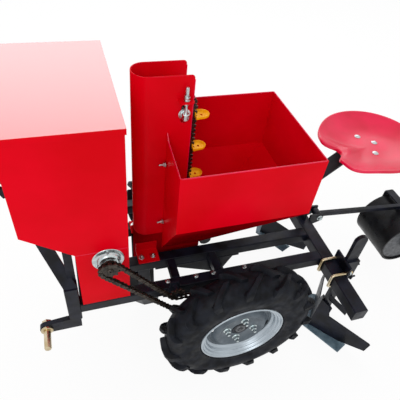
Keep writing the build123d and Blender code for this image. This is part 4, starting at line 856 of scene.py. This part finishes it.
# Rolled edges of the hoppers and the tower
TOWER_EDGE_Z = 1068.4
bm = bmesh.new()
for side in SIDES.values():
    edge = [(207.5, 43, 897.5), (207.5, 62, 877.5), (207.5, 120, 867.6), (207.5, 192, 857),
            (203, 195.5, 856.4), (-231, 195.5, 856.4), (-235.5, 191, 856.4), (-235.5, 0, 856.4)]
    rod(bm, [spot(x, side * y, z) for x, y, z in edge], 1.9, 8)
    rod(bm, [spot(x, side * 218.6, 645) for x in (353.5, 499)], 1.3, 8)
    rod(bm, [spot(x, side * 40.5, TOWER_EDGE_Z) for x in (150, 200, 258)], 1.6, 8)
    rod(bm, [spot(139.5, side * 40.6, z) for z in (1056, 900, 660)], 1.6, 8)
bend = [spot(260 + 40.5 * math.cos(a), 40.5 * math.sin(a), TOWER_EDGE_Z) for a in
        (math.radians(t) for t in range(-90, 91, 10))]
rod(bm, bend, 1.6, 8)
# The rolled edges take the seat's pinker red as a painted highlight along them
piece("rolled_edges", bm, "frame", "red_paint", seat_enamel)

# Tab, screw and nuts that draw the upper shaft up its slot, on each side of the tower
THREADS, THREAD_Z, THREAD_STEP = 24, 1022, 0.85
bm = bmesh.new()
for side in SIDES.values():
    outward, screw_y = (0, side, 0), side * (TOWER_HALF + 13.4)
    turned(bm, spot(LIFT_X, side * (TOWER_HALF + 4), LIFT_HIGH), outward,
           [(-60, 8), (17, 8), (18.5, 6.5)], 24)
    nut(bm, spot(LIFT_X, side * (TOWER_HALF + 0.3), LIFT_HIGH), outward, 24)
    turned(bm, spot(LIFT_X, screw_y, LIFT_HIGH), (0, 0, 1),
           [(-10, 8.5), (-8, 10.5), (8, 10.5), (10, 8.5)], 24)
    turned(bm, spot(LIFT_X, screw_y, LIFT_HIGH), (0, 0, 1), [(8, 4.3), (87, 4.3), (88.5, 3.3)], 14)
    for z in (1004.8, 1014):
        nut(bm, spot(LIFT_X, screw_y, z), (0, 0, 1), 13)
    nut(bm, spot(LIFT_X, screw_y, 999.2), (0, 0, -1), 13)
    for k in range(THREADS):
        z = THREAD_Z + k * THREAD_STEP
        turned(bm, spot(LIFT_X, screw_y, z), (0, 0, 1), [(0, 4.3), (0.35, 4.8), (0.7, 4.3)], 12)
piece("tension_screws", bm, "frame", "zinc_steel", bright_zinc, "tension_shaft")
TENSION_TAB = ((143, 41), (143, 62), (147, 68), (179, 68), (183, 62), (183, 41))
bm = bmesh.new()
for side in SIDES.values():
    plate(bm, [(x, side * y, 999.6) for x, y in TENSION_TAB], (0, 0, 5))
piece("tension_tabs", bm, "frame", "red_paint", red_enamel)

# Bolts through the seed hopper's front sheet, high and low, and on the rails and the tower's feet
bm = bmesh.new()
for side in SIDES.values():
    for z in (794, 549):
        nut(bm, spot(212.2, side * 54, z), (1, 0, 0), 13, 13)
        nut(bm, spot(205.6, side * 54, z), (-1, 0, 0), 13)
    for x in (222, 123, 62, -54):
        nut(bm, spot(x, side * 192, FRAME_TOP), (0, 0, 1), 12, 1.5)
    for x in (248, 288):
        nut(bm, spot(x, side * 78, FRAME_TOP + 4), (0, 0, 1), 15, 4)
piece("frame_bolts", bm, "frame", "zinc_steel", bright_zinc)

# Lower link pins: a thick collar outside the lug, then the free pin; a washer and a nut inside it
LINK_X, LINK_Z = 622, 306
LUG_IN, LUG_OUT = 204, 220
bm = bmesh.new()
for side in SIDES.values():
    turned(bm, spot(LINK_X, side * (LUG_OUT + 0.2), LINK_Z), (0, side, 0),
           [(0, 17.5), (1, 18.8), (6.5, 18.8), (7.8, 17.2), (8, 11), (66, 11), (69.5, 9.5), (70.8, 7)], 40)
    turned(bm, spot(LINK_X, side * LUG_IN, LINK_Z), (0, -side, 0),
           [(0, 18), (2.6, 18), (2.8, 15, True), (12, 15.5, True), (14, 12.5, True)], 36)
    turned(bm, spot(LINK_X, side * (LUG_IN - 0.4), LINK_Z), (0, side, 0), [(0, 10.9), (18, 10.9)], 24)
piece("hitch_pins", bm, "frame", "zinc_steel", yellow_zinc, "lower_link_pins")

# U-bolts round the toolbar, with their nuts behind the clamp plates
BAR_REAR, BAR_FRONT, BAR_TOP, BAR_BOTTOM = -402, -352, 402, 352
U_ROD = 5.3
front, top, bottom = BAR_FRONT + 5.6, BAR_TOP + 5.6, BAR_BOTTOM - 5.6       # the rod's middle line
bow = [(BAR_REAR - 25, top), (front - 14, top), (front - 4, top - 1), (front, top - 5), (front, top - 14),
       (front, bottom + 14), (front, bottom + 5), (front - 4, bottom + 1), (front - 14, bottom),
       (BAR_REAR - 25, bottom)]
bm = bmesh.new()
nuts = bmesh.new()
for side in SIDES.values():
    for shift in (-36.5, 36.5):
        y = side * RIDGER_Y + shift
        rod(bm, [spot(x, y, z) for x, z in bow], U_ROD, 14)
        for z in (top, bottom):
            nut(nuts, spot(BAR_REAR - 8.2, y, z), (-1, 0, 0), 17)
piece("u_bolt_rods", bm, "frame", "zinc_steel", yellow_zinc, "ridger_u_bolts")
piece("u_bolt_nuts", nuts, "frame", "zinc_steel", bright_zinc)

# Flat brace from each shank to the back of its outer wing
BRACE = ((-421, RIDGER_Y + 4, 216), (-421, RIDGER_Y + 4, 188), (-472, RIDGER_Y + 72, 154),
         (-472, RIDGER_Y + 72, 182))
bm = bmesh.new()
for side in SIDES.values():
    plate(bm, [(x, side * y, z) for x, y, z in BRACE], (-5, side * -4, 0))
piece("wing_braces", round_over(bm, 1.0), "frame", "black_paint", black_enamel, crease=42, flat=True)

# Bolts through the shank's keeper: one at the toolbar's height, one below it on a stud from the shank
SHANK_REAR = -446
bm = bmesh.new()
for side in SIDES.values():
    y = side * RIDGER_Y
    nut(bm, spot(SHANK_REAR - 19, y, 392), (-1, 0, 0), 17, 12)
    turned(bm, spot(SHANK_REAR, y + side * 4, 322), (-1, 0, 0), [(0, 5.5), (24, 5.5)], 16)
    nut(bm, spot(SHANK_REAR - 24, y + side * 4, 322), (-1, 0, 0), 15, 14)
piece("keeper_bolts", bm, "frame", "black_paint", black_enamel)

# Seat: a pressed pan with a rolled rim, and a dip at the notch between its two front lobes
SEAT_X, SEAT_Z, SEAT_TURN = -557, 718, 0.15
SEAT_LONG, SEAT_WIDE = 189, 180.5       # half the pan's length and width
NOTCH_DEEP, RIM_HIGH = 52, 38
SEAT_STEPS = 144
SEAT_SECTION = [        # share of the way to the edge, and down from the pan's upper face
    (0.04, 0), (0.2, 0), (0.35, 0), (0.5, 0), (0.62, 0), (0.74, 0), (0.84, 0), (0.91, 0), (0.955, -0.6),
    (0.98, -0.4), (0.995, 1.6), (1.0, 5), (1.0, 11), (0.985, 11), (0.983, 6.4), (0.955, 4.6), (0.9, 3.2),
    (0.74, 3.2), (0.5, 3.2), (0.2, 3.2), (0.04, 3.2)]


def off_notch(angle):
    # The angle from the notch, which is a little left of straight ahead.
    return abs((angle - SEAT_TURN + math.pi) % (2 * math.pi) - math.pi)


def seat_edge(angle):
    # The pan's reach at an angle from straight ahead, with the notch in front between two lobes.
    off = off_notch(angle)
    plain = 1 / math.hypot(math.cos(angle - SEAT_TURN) / SEAT_LONG, math.sin(angle - SEAT_TURN) / SEAT_WIDE)
    lobe = 11 + 8 * math.tanh(math.sin(angle - SEAT_TURN) * 3)
    return plain + lobe * math.exp(-((off - 0.6) / 0.3) ** 2) - NOTCH_DEEP * math.exp(-(off / 0.22) ** 4)


def seat_point(share, angle, drop):
    # A place on the pan: it rises to its rim, dips at the notch and has a low ridge behind it.
    off = off_notch(angle)
    reach = seat_edge(angle) * share
    rise = RIM_HIGH * max(0, (share - 0.3) / 0.7) ** 1.9
    dip = math.exp(-(off / 0.26) ** 4)
    lobe = -9 * math.exp(-((off - 0.5) / 0.3) ** 2) * share ** 2
    ridge = 11 * math.exp(-(off / 0.34) ** 2 - ((share - 0.7) / 0.26) ** 2)
    height = SEAT_Z + 4 + rise * (1 - 0.7 * dip) + lobe + ridge - drop
    return spot(SEAT_X + reach * math.cos(angle), reach * math.sin(angle), height)


bm = bmesh.new()
skin_over(bm, [[seat_point(share, 2 * math.pi * k / SEAT_STEPS, drop) for k in range(SEAT_STEPS)]
               for share, drop in SEAT_SECTION])
piece("pressed_seat", bm, "frame", "red_paint", seat_enamel, "seat_pan", crease=60)
bm = bmesh.new()
for x, y in ((-550, -62), (-594, -17), (-561, 40)):
    turned(bm, spot(x, y, SEAT_Z + 4.4), (0, 0, 1),
           [(0, 11), (1.2, 11), (1.6, 9.5), (4, 7.5), (5.2, 4), (5.4, 1)], 24)
    nut(bm, spot(x, y, SEAT_Z - 10), (0, 0, -1), 13, 3)
piece("seat_bolts", bm, "frame", "zinc_steel", bright_zinc)

# Press roller: a rolled drum with turned-in ends, a disc in each, and its axle
DRUM = [        # along the axle, and out from it
    (-102, 107), (-102, 113.5), (-100.5, 115), (-60, 114.6), (0, 114.4), (60, 114.6), (100.5, 115),
    (102, 113.5), (102, 107), (96, 106.5), (96, 100), (-96, 100), (-96, 106.5)]
DRUM_END = [(0, 105.5), (2.5, 105.5), (3, 100), (2, 92), (2, 40), (5, 34), (6, 22), (8, 20), (8, 12)]
x, z = ROLLER
bm = bmesh.new()
turned(bm, spot(x, 0, z), (0, 1, 0), DRUM, 96, closed=True)
piece("roller_drum", bm, "press_roll", "roller_black", roller_black, "press_roller")
bm = bmesh.new()
for side in SIDES.values():
    turned(bm, spot(x, side * 92, z), (0, side, 0), DRUM_END, 72)
piece("roller_discs", bm, "press_roll", "roller_black", disc_grey)
bm = bmesh.new()
turned(bm, spot(x, 0, z), (0, 1, 0), [(-121, 7), (-119.5, 9.9), (119.5, 9.9), (121, 7)], 24)
piece("roller_axle", bm, "press_roll", "zinc_steel", bright_zinc)

# Nuts on the pivot of the roller arm
bm = bmesh.new()
for side in SIDES.values():
    nut(bm, spot(ARM_PIVOT[0], side * 28.2, ARM_PIVOT[1]), (0, side, 0), 17, 2)
piece("arm_pivot_nuts", bm, "frame", "zinc_steel", bright_zinc)

# Floor and light: a white studio
floor_mesh = bpy.data.meshes.new("floor")
floor_mesh.from_pydata([(-9, -9, 0), (9, -9, 0), (9, 9, 0), (-9, 9, 0)], [], [(0, 1, 2, 3)])
floor = bpy.data.objects.new("floor", floor_mesh)
bpy.context.scene.collection.objects.link(floor)
floor.location.z = cad_box[0][2] - 0.0005
FLOOR_GLOW = 0.92       # share of the floor that shows as plain white; the rest takes the shadow
floor_finish, tree, shader = finish_of("white studio floor", "#FAFAFA", 0.9)


def seen_share(tree, share):
    # How much of the white background a camera, glossy or transmission ray gets.
    path = add(tree, "ShaderNodeLightPath")
    direct = add(tree, "ShaderNodeMath", [("operation", "MAXIMUM")],
                 [(0, path.outputs["Is Camera Ray"]), (1, path.outputs["Is Glossy Ray"])])
    seen = add(tree, "ShaderNodeMath", [("operation", "MAXIMUM")],
               [(0, direct.outputs[0]), (1, path.outputs["Is Transmission Ray"])])
    part = add(tree, "ShaderNodeMath", [("operation", "MULTIPLY"), (1, share)], [(0, seen.outputs[0])])
    return part.outputs[0]


glow = add(tree, "ShaderNodeEmission", [("Color", (1, 1, 1, 1)), ("Strength", 1.0)])
mix = add(tree, "ShaderNodeMixShader", [],
          [(0, seen_share(tree, FLOOR_GLOW)), (1, shader.outputs[0]), (2, glow.outputs[0])])
tree.links.new(mix.outputs[0], tree.nodes["Material Output"].inputs["Surface"])
floor_mesh.materials.append(floor_finish)

world = bpy.data.worlds.new("studio")
bpy.context.scene.world = world
world.use_nodes = True
tree = world.node_tree
ambient = tree.nodes["Background"]
ambient.inputs["Color"].default_value = (1, 1, 1, 1)
ambient.inputs["Strength"].default_value = 0.73
plain = add(tree, "ShaderNodeBackground", [("Color", (1, 1, 1, 1)), ("Strength", 1.0)])
mix = add(tree, "ShaderNodeMixShader", [],
          [(0, seen_share(tree, 1.0)), (1, ambient.outputs[0]), (2, plain.outputs[0])])
tree.links.new(mix.outputs[0], tree.nodes["World Output"].inputs["Surface"])

for name, place, aim, size, power in (
        ("near softbox", (2.2, 3.2, 3.4), (0, 0, 0.4), (2.2, 2.2), 55),
        ("far softbox", (-0.5, -3.1, 2.9), (0.1, 0, 0.9), (5.2, 2.0), 62)):
    lamp = bpy.data.objects.new(name, bpy.data.lights.new(name, "AREA"))
    bpy.context.scene.collection.objects.link(lamp)
    lamp.data.shape = "RECTANGLE"
    lamp.data.size, lamp.data.size_y = size
    lamp.data.energy = power
    lamp.location = place
    lamp.rotation_euler = (Vector(aim) - Vector(place)).to_track_quat("-Z", "Y").to_euler()
    lamp.visible_camera = False

bpy.context.scene.view_settings.view_transform = "Standard"
